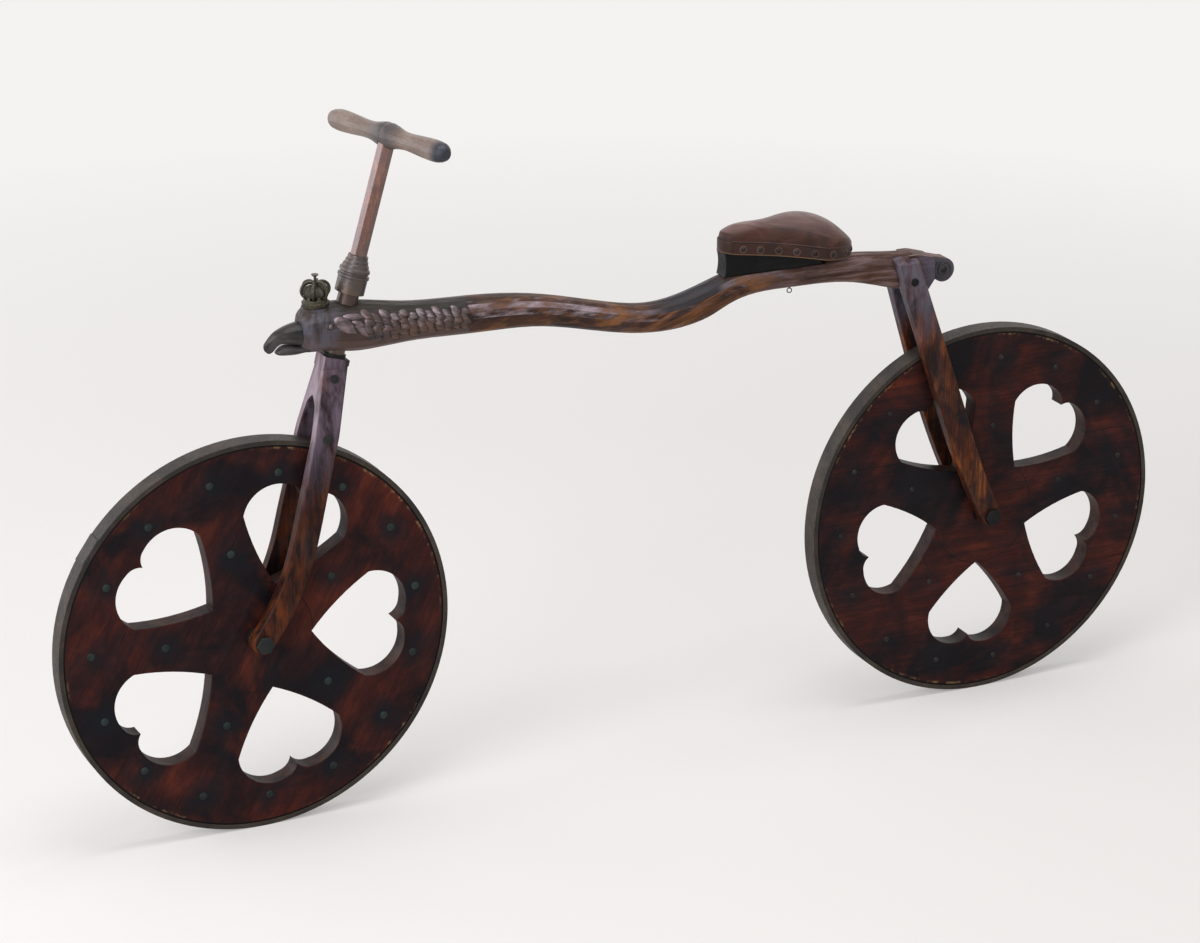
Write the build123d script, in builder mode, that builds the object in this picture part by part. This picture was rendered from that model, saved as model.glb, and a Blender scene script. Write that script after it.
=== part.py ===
from build123d import *
from math import copysign, cos, pi, radians, sin, sqrt, tan
import os

# A wooden running machine: two solid wheels in line, a carved backbone, a tee handle and a leather saddle.
# While it is drawn, x runs forward from the rear axle, y to the left and z up from the floor.

# Wheels
WHEEL_DIAMETER = 610.0
WHEELBASE = 1233.0
TYRE_THICKNESS = 7.0
TYRE_WIDTH = 31.0
DISC_THICKNESS = 30.0
HEART_COUNT = 5
HEART_TIP_RADIUS = 86.0
FRONT_HEART_LENGTH = 150.0
REAR_HEART_LENGTH = 138.0
FRONT_HEART_ANGLE = 39.0
REAR_HEART_ANGLE = -84.5

# Axles and hubs
AXLE_DIAMETER = 16.0
AXLE_HEAD_ACROSS = 24.0
AXLE_HEAD_THICKNESS = 7.0
AXLE_END_LENGTH = 8.0
AXLE_END_DIAMETER = 13.0
HUB_DIAMETER = 34.0
HUB_END_GAP = 1.0
RUNNING_CLEARANCE = 0.05

# Legs, which stand upright beside the wheels and close in above them
LEG_GAP = 52.0
LEG_THICKNESS = 19.0
LEG_SPREAD_HEIGHT = 175.0
LEG_BEND_RADIUS = 90.0
LEG_ROUNDING = 4.0
REAR_TYRE_CLEARANCE = 5.5
FORK_TYRE_CLEARANCE = 10.0
REAR_LAP_WIDTH = 30.0
REAR_TOP_WIDTH = 64.0
REAR_LAP_DEPTH = 58.0
REAR_KNEE_AHEAD = 71.0
REAR_LEG_HALF = (19.0, 20.5, 17.0)
REAR_TOP_AHEAD = 15.5
REAR_TOP_SLOPE = 9.0
REAR_BOLT_DROPS = (39.0,)
FORK_TONGUE_WIDTH = 18.0
FORK_TOP_WIDTH = 36.0
FORK_SHOULDER_DROP = 14.0
FORK_LAP_DEPTH = 30.0
FORK_KNEE_BEHIND = 70.0
FORK_KNEE_RISE = 143.0
FORK_LEG_HALF = (19.5, 19.0, 17.5)
FORK_TOP_SLOPE = 0.0
FORK_BOLT_DROPS = (15.0, 100.0)
ARCH_HALF_WIDTH = 16.0
ARCH_RISE = 15.0
BOLT_DIAMETER = 7.0
BOLT_LENGTH = 10.0
BOLT_HEAD_DIAMETER = 12.0
BOLT_HEAD_STANDS = 2.0
BOLT_HEAD_SINKS = 1.5

# Steering
RAKE = 16.2
FORK_OFFSET = 16.3
STEERING_GAP = 5.0
WASHER_CLEARANCE = 0.3
WASHER_DIAMETER = 36.0
POST_DIAMETER = 31.0
TENON_DIAMETER = 14.0
TENON_LENGTH = 36.0
NECK_SHOWING = 12.0
FERRULE_LENGTH = 56.0
FERRULE_DIAMETER = 44.0
POST_IN_FERRULE = 16.0
STEM_ACROSS_FLATS = 24.0
STEM_LENGTH = 236.0
HANDLE_LENGTH = 268.0
HANDLE_TURN = 15.6
HANDLE_GRIP_DIAMETER = 31.0
HANDLE_SIDES = 16

# Backbone
BEAM_OVER_WHEEL = 130.0
BEAM_SIDES = 16
SQUARENESS = 0.88
JOINT_X = 150.0
JOINT_RISE = 10.0
JOINT_OVERLAP = 10.0
TAIL_WIDTH = 42.0
SCROLL_DIAMETER = 38.0
SCROLL_WIDTH = 24.0
SCROLL_BEHIND = 66.3
SCROLL_DROP = 33.0
TAIL_CORNER_SHARE = 0.25
TAIL_SHOULDER_SHARE = 0.70
SCROLL_ROOT_SHARE = 0.72
GUSSET_SHARE = 0.53
HEAD_RISE = 22.0
HEAD_HEIGHT = 76.0
HEAD_WIDTH = 62.0
HEAD_REACH = 54.2
HEAD_SEAT_DROP = 16.0
HEAD_SEAT_DIAMETER = 64.0

# Head ornaments
BEAK_LENGTH = 58.0
BEAK_WIDTH = 40.0
BEAK_SIDES = 12
BEAK_LET_IN = 0.93
CROWN_AHEAD = 27.0
CROWN_HEIGHT = 46.0
CROWN_BASE_DIAMETER = 36.0
CROWN_MAX_DIAMETER = 46.8
CROWN_FOOT_SHARE = 0.8
CROWN_SUNK = 4.0
CROWN_RIB = 3.6
BOSS_DIAMETER = 43.0
BOSS_DEPTH = 14.0
BOSS_RISE = 2.0

# Saddle
SADDLE_X = 361.5
SADDLE_LENGTH = 219.0
SADDLE_WIDTH = 136.0
SADDLE_NOSE_WIDTH = 46.0
SADDLE_WAIST_AHEAD = 0.08
SADDLE_WAIST_SHARE = 0.36
SADDLE_TILT = 6.0
SADDLE_RISE = 43.0
SADDLE_BOARD_THICKNESS = 10.0
SADDLE_HEIGHT = 55.0
SADDLE_CREST_BEHIND = 20.0
LEATHER_THICKNESS = 3.0
SADDLE_BLOCK_WIDTH = 28.0
BLOCK_BACK_SHARE = 0.28
BLOCK_FRONT_SHARE = 0.478
SADDLE_FLAT_RISE = 16.0

# Places worked out from the sizes above
AXLE_HEIGHT = WHEEL_DIAMETER / 2
DISC_RADIUS = AXLE_HEIGHT - TYRE_THICKNESS
LEG_INNER = LEG_GAP / 2
LEG_OUTER = LEG_INNER + LEG_THICKNESS
BEAM_HEIGHT = WHEEL_DIAMETER + BEAM_OVER_WHEEL
JOINT_TOP = BEAM_HEIGHT + JOINT_RISE
HEAD_SEAT_HEIGHT = BEAM_HEIGHT - HEAD_SEAT_DROP
CROWN_TOP = HEAD_SEAT_HEIGHT - STEERING_GAP
FERRULE_BOTTOM = BEAM_HEIGHT + HEAD_RISE + HEAD_HEIGHT / 2 + NECK_SHOWING
SADDLE_BOARD_BOTTOM = BEAM_HEIGHT + SADDLE_RISE
UP_STEER = Vector(-sin(radians(RAKE)), 0, cos(radians(RAKE)))
FORWARD_STEER = Vector(cos(radians(RAKE)), 0, sin(radians(RAKE)))
LEFT = Vector(0, 1, 0)
SADDLE_ALONG = Vector(cos(radians(SADDLE_TILT)), 0, sin(radians(SADDLE_TILT)))
SADDLE_MIDDLE = Vector(SADDLE_X, 0, SADDLE_BOARD_BOTTOM)
SADDLE_PLANE = Plane(origin=SADDLE_MIDDLE, x_dir=SADDLE_ALONG, z_dir=SADDLE_ALONG.cross(LEFT))
SEAT = SADDLE_PLANE.from_local_coords(Vector(-SADDLE_CREST_BEHIND, 0, SADDLE_HEIGHT))


def steer_point(height):
    """The point of the steering axis at a height above the floor."""
    return Vector(WHEELBASE - FORK_OFFSET - (height - AXLE_HEIGHT) * tan(radians(RAKE)), 0, height)


def steer_plane(height):
    """A plane square to the steering axis, its x axis forward."""
    return Plane(origin=steer_point(height), x_dir=FORWARD_STEER, z_dir=UP_STEER)


def side_plane(y):
    """An upright plane along the machine at a distance y to the left: sketch x is x, sketch y is z."""
    return Plane(origin=(0, y, 0), x_dir=(1, 0, 0), z_dir=(0, -1, 0))


def cross_plane(x, z):
    """An upright plane across the machine: sketch x is y, sketch y is z."""
    return Plane(origin=(x, 0, z), x_dir=(0, 1, 0), z_dir=(1, 0, 0))


def write(builder, name):
    """Name a finished piece, set the saddle top at the origin and write it out."""
    part = builder.part.moved(Location(-SEAT))
    part.label = name
    export_step(part, f"parts/{name}.step")


def leg_outline(top, knee, end, half_widths):
    """Draw a leg from the side: a straight upper part, then a smooth arc to a round end."""
    top, knee, end = Vector(*top), Vector(*knee), Vector(*end)
    half_top, half_knee, half_end = half_widths
    along = (knee - top).normalized()
    chord = end - knee
    swing = along.get_signed_angle(chord, Vector(0, 0, 1))
    turn = copysign(1, swing)
    middle_along = along.rotate(Axis.Z, swing)
    end_along = along.rotate(Axis.Z, 2 * swing)
    radius = chord.length / 2 / sin(radians(abs(swing)))
    bulge = radius - sqrt(radius ** 2 - (chord.length / 2) ** 2)
    middle = (knee + end) / 2 + middle_along.rotate(Axis.Z, -90 * turn) * bulge
    stations = (
        (top, along, half_top),
        (knee, along, half_knee),
        (middle, middle_along, (half_knee + half_end) / 2),
        (end, end_along, half_end),
    )
    front = [place + way.rotate(Axis.Z, 90) * half for place, way, half in stations]
    back = [place + way.rotate(Axis.Z, -90) * half for place, way, half in stations]
    with BuildSketch(mode=Mode.PRIVATE) as outline:
        with BuildLine():
            Line(front[0], front[1])
            ThreePointArc(front[1], front[2], front[3])
            ThreePointArc(front[3], end + end_along * half_end, back[3])
            ThreePointArc(back[3], back[2], back[1])
            Line(back[1], back[0])
            Line(back[0], front[0])
        make_face()
    return outline.sketch


def rim_faces(clearance, top_inner, top_outer):
    """Distances from the middle of a leg's inner and outer face beside the top of the tyre."""
    inner = TYRE_WIDTH / 2 + clearance
    return inner, inner + (LEG_THICKNESS + top_outer - top_inner) / 2


def leg_front(side, top, lap_end, clearance, top_inner, top_outer, slope):
    """Draw a leg from the front: flat on its joint, spread over the tyre, then upright beside the wheel."""
    spread = AXLE_HEIGHT + LEG_SPREAD_HEIGHT
    rim_inner, rim_outer = rim_faces(clearance, top_inner, top_outer)
    with BuildSketch(mode=Mode.PRIVATE) as view:
        with BuildLine():
            FilletPolyline(
                (side * top_inner, top),
                (side * top_inner, lap_end),
                (side * rim_inner, WHEEL_DIAMETER),
                (side * LEG_INNER, spread),
                (side * LEG_INNER, 0),
                radius=LEG_BEND_RADIUS,
            )
            Line((side * LEG_INNER, 0), (side * LEG_OUTER, 0))
            FilletPolyline(
                (side * LEG_OUTER, 0),
                (side * LEG_OUTER, spread),
                (side * rim_outer, WHEEL_DIAMETER),
                (side * top_outer, top - slope),
                radius=LEG_BEND_RADIUS,
            )
            Line((side * top_outer, top - slope), (side * top_inner, top))
        make_face()
    return view.sketch


def hewn_section(width, height, sides):
    """Draw a hewn section: a many-sided oval, a little squarer than an ellipse."""
    turns = [2 * pi * step / sides for step in range(sides)]
    corners = [
        (
            width / 2 * copysign(abs(cos(turn)) ** SQUARENESS, cos(turn)),
            height / 2 * copysign(abs(sin(turn)) ** SQUARENESS, sin(turn)),
        )
        for turn in turns
    ]
    with BuildSketch(mode=Mode.PRIVATE) as section:
        Polygon(*corners, align=None)
    return section.sketch


# Wheels: a pierced disc, an iron hoop shrunk on it and an iron hub that runs on the axle
HUB_LENGTH = LEG_GAP - 2 * HUB_END_GAP
WHEELS = (
    # name, axle x, heart angle, heart length
    ("front", WHEELBASE, FRONT_HEART_ANGLE, FRONT_HEART_LENGTH),
    ("rear", 0.0, REAR_HEART_ANGLE, REAR_HEART_LENGTH),
)
# One side of a heart, as shares of its length: (along the radius from the tip, across it)
HEART_SIDE = ((0.28, 0.31), (0.59, 0.555), (0.93, 0.42), (1.0, 0.15), (0.965, 0.05), (0.9, 0.0))
os.makedirs("parts", exist_ok=True)

for wheel, axle_x, heart_angle, heart_length in WHEELS:
    wheel_plane = Plane(origin=(axle_x, 0, AXLE_HEIGHT), x_dir=(1, 0, 0), z_dir=(0, -1, 0))
    right_face = wheel_plane.offset(LEG_OUTER)
    left_face = wheel_plane.offset(-LEG_OUTER)
    with BuildPart() as disc:
        with BuildSketch(wheel_plane):
            Circle(DISC_RADIUS)
            Circle(HUB_DIAMETER / 2, mode=Mode.SUBTRACT)
            with PolarLocations(0, HEART_COUNT, heart_angle):
                with BuildSketch(Plane.XY, mode=Mode.PRIVATE) as heart:
                    tip = (HEART_TIP_RADIUS, 0)
                    side = [(HEART_TIP_RADIUS + u * heart_length, v * heart_length) for u, v in HEART_SIDE]
                    with BuildLine():
                        ThreePointArc(tip, side[0], side[1])
                        ThreePointArc(side[1], side[2], side[3])
                        ThreePointArc(side[3], side[4], side[5])
                        Line(side[5], tip)
                    make_face()
                    mirror(about=Plane.XZ)
                add(heart.sketch, mode=Mode.SUBTRACT)
        extrude(amount=DISC_THICKNESS / 2, both=True)
    write(disc, f"{wheel}_disc")

    with BuildPart() as tyre:
        with BuildSketch(wheel_plane):
            Circle(AXLE_HEIGHT)
            Circle(DISC_RADIUS, mode=Mode.SUBTRACT)
        extrude(amount=TYRE_WIDTH / 2, both=True)
    write(tyre, f"{wheel}_tyre")

    with BuildPart() as hub:
        with BuildSketch(wheel_plane):
            Circle(HUB_DIAMETER / 2)
            Circle(AXLE_DIAMETER / 2 + RUNNING_CLEARANCE, mode=Mode.SUBTRACT)
        extrude(amount=HUB_LENGTH / 2, both=True)
    write(hub, f"{wheel}_hub")

    with BuildPart() as axle:
        with BuildSketch(wheel_plane):
            Circle(AXLE_DIAMETER / 2)
        extrude(amount=LEG_OUTER, both=True)
        with BuildSketch(left_face):
            RegularPolygon(AXLE_HEAD_ACROSS / 2, 6, major_radius=False)
        extrude(amount=-AXLE_HEAD_THICKNESS)
        with BuildSketch(right_face):
            Circle(AXLE_DIAMETER / 2)
        extrude(amount=AXLE_HEAD_THICKNESS)
        with BuildSketch(right_face.offset(AXLE_HEAD_THICKNESS)):
            Circle(AXLE_END_DIAMETER / 2)
        extrude(amount=AXLE_END_LENGTH)
    write(axle, f"{wheel}_axle")

    with BuildPart() as nut:
        with BuildSketch(right_face):
            RegularPolygon(AXLE_HEAD_ACROSS / 2, 6, major_radius=False)
            Circle(AXLE_DIAMETER / 2, mode=Mode.SUBTRACT)
        extrude(amount=AXLE_HEAD_THICKNESS)
    write(nut, f"{wheel}_axle_nut")

# Legs, lapped on the backbone's joint behind and on the fork crown in front, with bolts in their outer faces
FORK_TOP = steer_point(CROWN_TOP)
FORK_KNEE = (WHEELBASE - FORK_KNEE_BEHIND, AXLE_HEIGHT + FORK_KNEE_RISE)
FORK_SHOULDER = CROWN_TOP - FORK_SHOULDER_DROP
FORK_SLOPE = (FORK_KNEE[0] - FORK_TOP.X) / (CROWN_TOP - FORK_KNEE[1])
FORK_START = (FORK_TOP.X - FORK_LEG_HALF[0] * FORK_SLOPE, CROWN_TOP + FORK_LEG_HALF[0])
REAR_START = (JOINT_X + REAR_TOP_AHEAD, JOINT_TOP + REAR_LEG_HALF[0])
REAR_KNEE = (REAR_KNEE_AHEAD, AXLE_HEIGHT + LEG_SPREAD_HEIGHT)
FORK_LAP_END = FORK_SHOULDER - FORK_LAP_DEPTH
REAR_LAP_END = JOINT_TOP - REAR_LAP_DEPTH
REAR_LAP_HALVES = (REAR_LAP_WIDTH / 2, REAR_TOP_WIDTH / 2)
FORK_LAP_HALVES = (FORK_TONGUE_WIDTH / 2, FORK_TOP_WIDTH / 2)
REAR_LAP = (JOINT_TOP, REAR_LAP_END, REAR_TYRE_CLEARANCE, *REAR_LAP_HALVES, REAR_TOP_SLOPE)
FORK_LAP = (FORK_SHOULDER, FORK_LAP_END, FORK_TYRE_CLEARANCE, *FORK_LAP_HALVES, FORK_TOP_SLOPE)
LEG_PAIRS = (
    # name, top, knee, axle x, half widths, lap (top, end, tyre clearance, half widths, slope), bolt drops
    ("rear", REAR_START, REAR_KNEE, 0.0, REAR_LEG_HALF, REAR_LAP, REAR_BOLT_DROPS),
    ("fork", FORK_START, FORK_KNEE, WHEELBASE, FORK_LEG_HALF, FORK_LAP, FORK_BOLT_DROPS),
)
legs = {}

for pair, top, knee, axle_x, half_widths, lap, bolt_drops in LEG_PAIRS:
    lap_top, lap_end, clearance, lap_inner, lap_outer, slope = lap
    rim_outer = rim_faces(clearance, lap_inner, lap_outer)[1]
    with BuildPart() as bolts:
        for drop in bolt_drops:
            bolt_height = lap_top - drop
            bolt_x = top[0] + (knee[0] - top[0]) * (top[1] - bolt_height) / (top[1] - knee[1])
            share = (bolt_height - WHEEL_DIAMETER) / (lap_top - slope - WHEEL_DIAMETER)
            leg_face = rim_outer + share * (lap_outer - rim_outer)
            for side in (1, -1):
                with BuildSketch(side_plane(side * (leg_face + BOLT_HEAD_STANDS))):
                    with Locations((bolt_x, bolt_height)):
                        Circle(BOLT_HEAD_DIAMETER / 2)
                extrude(amount=side * (BOLT_HEAD_STANDS + BOLT_HEAD_SINKS))
                with BuildSketch(side_plane(side * leg_face)):
                    with Locations((bolt_x, bolt_height)):
                        Circle(BOLT_DIAMETER / 2)
                extrude(amount=side * BOLT_LENGTH)
    write(bolts, f"{pair}_bolts")

    for leg_side, side in (("left", 1), ("right", -1)):
        with BuildPart() as leg:
            with BuildSketch(side_plane(0)):
                add(leg_outline(top, knee, (axle_x, AXLE_HEIGHT), half_widths))
                with Locations((axle_x, AXLE_HEIGHT)):
                    Circle(AXLE_DIAMETER / 2, mode=Mode.SUBTRACT)
            extrude(amount=-side * 2 * LEG_OUTER)
            with BuildSketch(cross_plane(axle_x, 0)):
                add(leg_front(side, *lap))
            extrude(amount=WHEELBASE, both=True, mode=Mode.INTERSECT)
            outer_faces = leg.faces().filter_by(lambda face: face.normal_at().Y * side > 0.9)
            long_edges = outer_faces.edges().filter_by(lambda edge: edge.length > 4 * AXLE_DIAMETER)
            fillet(long_edges, LEG_ROUNDING)
            add(bolts.part, mode=Mode.SUBTRACT)
        legs[pair, leg_side] = leg.part
        write(leg, f"{pair}_leg_{leg_side}")

# Fork crown: the block between the fork legs, with a pointed arch over the wheel
FORK_RIM_INNER = TYRE_WIDTH / 2 + FORK_TYRE_CLEARANCE
ARCH_SHARE = (ARCH_HALF_WIDTH - FORK_TONGUE_WIDTH / 2) / (FORK_RIM_INNER - FORK_TONGUE_WIDTH / 2)
ARCH_SPRING = FORK_LAP_END - ARCH_SHARE * (FORK_LAP_END - WHEEL_DIAMETER)
ARCH_TOP = ARCH_SPRING + ARCH_RISE
ARCH_BULGE = 0.58

with BuildPart() as fork_crown:
    crown_half = FORK_TOP_WIDTH / 2
    tongue_half = (FORK_TONGUE_WIDTH + FORK_TOP_WIDTH) / 4
    with BuildSketch(side_plane(0)):
        add(leg_outline(FORK_START, FORK_KNEE, (WHEELBASE, AXLE_HEIGHT), FORK_LEG_HALF))
    extrude(amount=crown_half, both=True)
    with BuildSketch(cross_plane(WHEELBASE, 0)):
        with BuildLine():
            apex = (0, ARCH_TOP)
            haunch = (ARCH_BULGE * ARCH_HALF_WIDTH, ARCH_SPRING + ARCH_BULGE * ARCH_RISE)
            Polyline(
                (ARCH_HALF_WIDTH, ARCH_SPRING),
                (tongue_half, FORK_SHOULDER),
                (crown_half, FORK_SHOULDER),
                (crown_half, BEAM_HEIGHT),
                (-crown_half, BEAM_HEIGHT),
                (-crown_half, FORK_SHOULDER),
                (-tongue_half, FORK_SHOULDER),
                (-ARCH_HALF_WIDTH, ARCH_SPRING),
            )
            ThreePointArc((ARCH_HALF_WIDTH, ARCH_SPRING), haunch, apex)
            ThreePointArc(apex, (-haunch[0], haunch[1]), (-ARCH_HALF_WIDTH, ARCH_SPRING))
        make_face()
    extrude(amount=WHEELBASE, both=True, mode=Mode.INTERSECT)
    split(bisect_by=steer_plane(CROWN_TOP), keep=Keep.BOTTOM)
    add(legs["fork", "left"], mode=Mode.SUBTRACT)
    add(legs["fork", "right"], mode=Mode.SUBTRACT)
    add(bolts.part, mode=Mode.SUBTRACT)
    with BuildSketch(steer_plane(CROWN_TOP)):
        Circle(TENON_DIAMETER / 2)
    extrude(amount=-TENON_LENGTH, mode=Mode.SUBTRACT)
write(fork_crown, "fork_crown")

# Steering post with its tenon in the crown, and the washer that carries the head
with BuildPart() as steering_post:
    with BuildSketch(steer_plane(CROWN_TOP)):
        Circle(POST_DIAMETER / 2)
    extrude(amount=(FERRULE_BOTTOM - CROWN_TOP) / cos(radians(RAKE)) + POST_IN_FERRULE)
    with BuildSketch(steer_plane(CROWN_TOP)):
        Circle(TENON_DIAMETER / 2)
    extrude(amount=-TENON_LENGTH)
write(steering_post, "steering_post")

with BuildPart() as steering_washer:
    with BuildSketch(steer_plane(CROWN_TOP)):
        Circle(WASHER_DIAMETER / 2)
        Circle(POST_DIAMETER / 2, mode=Mode.SUBTRACT)
    extrude(amount=STEERING_GAP / cos(radians(RAKE)) - WASHER_CLEARANCE)
write(steering_washer, "steering_washer")

# Stem, ferrule and handle
FERRULE_PROFILE = (
    # share of the length, share of the lower radius
    (0.0, 1.0), (0.40, 1.0), (0.42, 1.07), (0.48, 1.07), (0.50, 0.95), (0.55, 0.95), (0.57, 1.03),
    (0.64, 1.02), (0.67, 0.92), (0.76, 0.86), (0.78, 0.80), (0.87, 0.76), (0.89, 0.70), (1.0, 0.67),
)
HANDLE_SECTIONS = (
    # share of the half length, share of the grip diameter across and upright
    (0.0, 1.04, 1.20), (0.12, 1.00, 1.12), (0.30, 0.82, 0.84), (0.55, 0.90, 0.92),
    (0.80, 1.00, 1.00), (0.94, 0.84, 0.84), (1.0, 0.42, 0.42),
)
STEM_FOOT = steer_plane(FERRULE_BOTTOM).offset(POST_IN_FERRULE)
HANDLE_MIDDLE = steer_point(FERRULE_BOTTOM) + UP_STEER * STEM_LENGTH
HANDLE_WAY = Vector(-sin(radians(HANDLE_TURN)), cos(radians(HANDLE_TURN)), 0)
HANDLE_ACROSS = HANDLE_WAY.cross(Vector(0, 0, 1))

with BuildPart() as stem:
    with BuildSketch(STEM_FOOT):
        RegularPolygon(STEM_ACROSS_FLATS / 2, 8, major_radius=False)
    extrude(amount=STEM_LENGTH - POST_IN_FERRULE)
write(stem, "stem")

with BuildPart() as ferrule:
    with BuildSketch(Plane(origin=steer_point(FERRULE_BOTTOM), x_dir=FORWARD_STEER, z_dir=-LEFT)):
        lower_radius = FERRULE_DIAMETER / 2
        rings = [(radius * lower_radius, along * FERRULE_LENGTH) for along, radius in FERRULE_PROFILE]
        Polygon((0, 0), *rings, (0, FERRULE_LENGTH), align=None)
    revolve(axis=Axis(steer_point(FERRULE_BOTTOM), UP_STEER))
    add(steering_post.part, mode=Mode.SUBTRACT)
    add(stem.part, mode=Mode.SUBTRACT)
write(ferrule, "ferrule")

with BuildPart() as handle:
    for end in (-1, 1):
        for along, across, upright in HANDLE_SECTIONS:
            station = HANDLE_MIDDLE + HANDLE_WAY * (end * along * HANDLE_LENGTH / 2)
            grip_width = across * HANDLE_GRIP_DIAMETER
            grip_height = upright * HANDLE_GRIP_DIAMETER
            with BuildSketch(Plane(origin=station, x_dir=HANDLE_ACROSS, z_dir=HANDLE_WAY)):
                add(hewn_section(grip_width, grip_height, HANDLE_SIDES))
        loft()
    add(stem.part, mode=Mode.SUBTRACT)
write(handle, "handle")

# Backbone: hewn sections from the joint to the face of the carved head, then the tail with its scroll
HEAD_X = steer_point(HEAD_SEAT_HEIGHT).X
BEAM_START = JOINT_X - JOINT_OVERLAP
BEAM_RUN = HEAD_X - BEAM_START
REACH_SHARE = HEAD_REACH / BEAM_RUN
BEAM_SECTIONS = (
    # share of the way to the steering axis, rise of the middle, height, width
    (0.000, -17.0, 60.0, 46.0),
    (0.042, -12.5, 57.0, 46.0),
    (0.110, -0.5, 46.0, 44.0),
    (0.217, 1.5, 37.0, 42.0),
    (0.296, 1.0, 42.0, 44.0),
    (0.329, -5.0, 48.0, 46.0),
    (0.362, -17.0, 53.5, 48.0),
    (0.395, -26.5, 52.5, 48.0),
    (0.458, -34.0, 46.0, 46.0),
    (0.545, -22.0, 46.0, 46.0),
    (0.664, 4.0, 49.0, 48.0),
    (0.775, 12.0, 56.0, 52.0),
    (0.881, 16.0, 59.0, 57.0),
    (0.946, 19.5, 73.0, 60.0),
    (1 - 0.386 * REACH_SHARE, HEAD_RISE, HEAD_HEIGHT, HEAD_WIDTH),
    (1 + 0.421 * REACH_SHARE, 1.182 * HEAD_RISE, 0.934 * HEAD_HEIGHT, 0.968 * HEAD_WIDTH),
    (1 + 0.772 * REACH_SHARE, 1.136 * HEAD_RISE, 0.895 * HEAD_HEIGHT, 0.871 * HEAD_WIDTH),
    (1 + BEAK_LET_IN * REACH_SHARE, 1.091 * HEAD_RISE, 0.789 * HEAD_HEIGHT, 0.726 * HEAD_WIDTH),
    (1 + REACH_SHARE, 1.045 * HEAD_RISE, 0.605 * HEAD_HEIGHT, 0.484 * HEAD_WIDTH),
)
CROWN_X = HEAD_X + CROWN_AHEAD
CROWN_SEAT = BEAM_HEIGHT + HEAD_RISE + HEAD_HEIGHT / 2 - CROWN_SUNK
SCROLL_X = JOINT_X - SCROLL_BEHIND
TAIL_SHOULDER_X = JOINT_X - TAIL_SHOULDER_SHARE * SCROLL_BEHIND
SCROLL_HEIGHT = JOINT_TOP - SCROLL_DROP
SADDLE_FLAT = BEAM_HEIGHT + SADDLE_FLAT_RISE
BLOCK_BACK = SADDLE_X - BLOCK_BACK_SHARE * SADDLE_LENGTH
BLOCK_FRONT = SADDLE_X + BLOCK_FRONT_SHARE * SADDLE_LENGTH

with BuildPart() as backbone:
    for share, rise, height, width in BEAM_SECTIONS:
        with BuildSketch(cross_plane(BEAM_START + share * BEAM_RUN, BEAM_HEIGHT + rise)):
            add(hewn_section(width, height, BEAM_SIDES))
    loft()
    with BuildSketch(side_plane(0)):
        with BuildLine():
            scroll_top = (SCROLL_X, SCROLL_HEIGHT + SCROLL_DIAMETER / 2)
            scroll_root = (JOINT_X - SCROLL_ROOT_SHARE * SCROLL_BEHIND, SCROLL_HEIGHT - SCROLL_DIAMETER / 5)
            gusset = (JOINT_X - GUSSET_SHARE * SCROLL_BEHIND, REAR_LAP_END)
            FilletPolyline(
                (JOINT_X, JOINT_TOP),
                (JOINT_X - TAIL_CORNER_SHARE * SCROLL_BEHIND, JOINT_TOP),
                scroll_top,
                radius=SCROLL_DIAMETER,
            )
            Polyline(scroll_top, (SCROLL_X, SCROLL_HEIGHT), scroll_root, gusset)
            Polyline(gusset, (JOINT_X, REAR_LAP_END), (JOINT_X, JOINT_TOP))
        make_face()
        with Locations((SCROLL_X, SCROLL_HEIGHT)):
            Circle(SCROLL_DIAMETER / 2)
    extrude(amount=TAIL_WIDTH / 2, both=True)
    with BuildSketch(Plane.XY.offset(SCROLL_HEIGHT - SCROLL_DIAMETER)):
        cheek = (TAIL_WIDTH - SCROLL_WIDTH) / 2
        for side in (-1, 1):
            with Locations((TAIL_SHOULDER_X, side * (SCROLL_WIDTH + cheek) / 2)):
                Rectangle(SCROLL_BEHIND, cheek, align=(Align.MAX, Align.CENTER))
    extrude(amount=2 * SCROLL_DIAMETER, mode=Mode.SUBTRACT)
    add(legs["rear", "left"], mode=Mode.SUBTRACT)
    add(legs["rear", "right"], mode=Mode.SUBTRACT)
    with BuildSketch(Plane.XY.offset(SADDLE_FLAT)):
        with Locations(((BLOCK_BACK + BLOCK_FRONT) / 2, 0)):
            Rectangle(BLOCK_FRONT - BLOCK_BACK + SADDLE_FLAT_RISE, 2 * SADDLE_BLOCK_WIDTH)
    extrude(amount=SADDLE_FLAT_RISE, mode=Mode.SUBTRACT)
    with BuildSketch(steer_plane(HEAD_SEAT_HEIGHT)):
        Circle(HEAD_SEAT_DIAMETER / 2)
    extrude(amount=-HEAD_HEIGHT, mode=Mode.SUBTRACT)
    with BuildSketch(steer_plane(HEAD_SEAT_HEIGHT)):
        Circle(POST_DIAMETER / 2 + RUNNING_CLEARANCE)
    extrude(amount=2 * HEAD_HEIGHT, mode=Mode.SUBTRACT)
    with BuildSketch(Plane.XY.offset(CROWN_SEAT + BOSS_RISE)):
        with Locations((CROWN_X, 0)):
            Circle(BOSS_DIAMETER / 2)
    extrude(amount=-BOSS_DEPTH)
    with BuildSketch(Plane.XY.offset(CROWN_SEAT)):
        with Locations((CROWN_X, 0)):
            Circle(CROWN_BASE_DIAMETER / 2)
    extrude(amount=CROWN_HEIGHT, mode=Mode.SUBTRACT)
write(backbone, "backbone")

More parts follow.
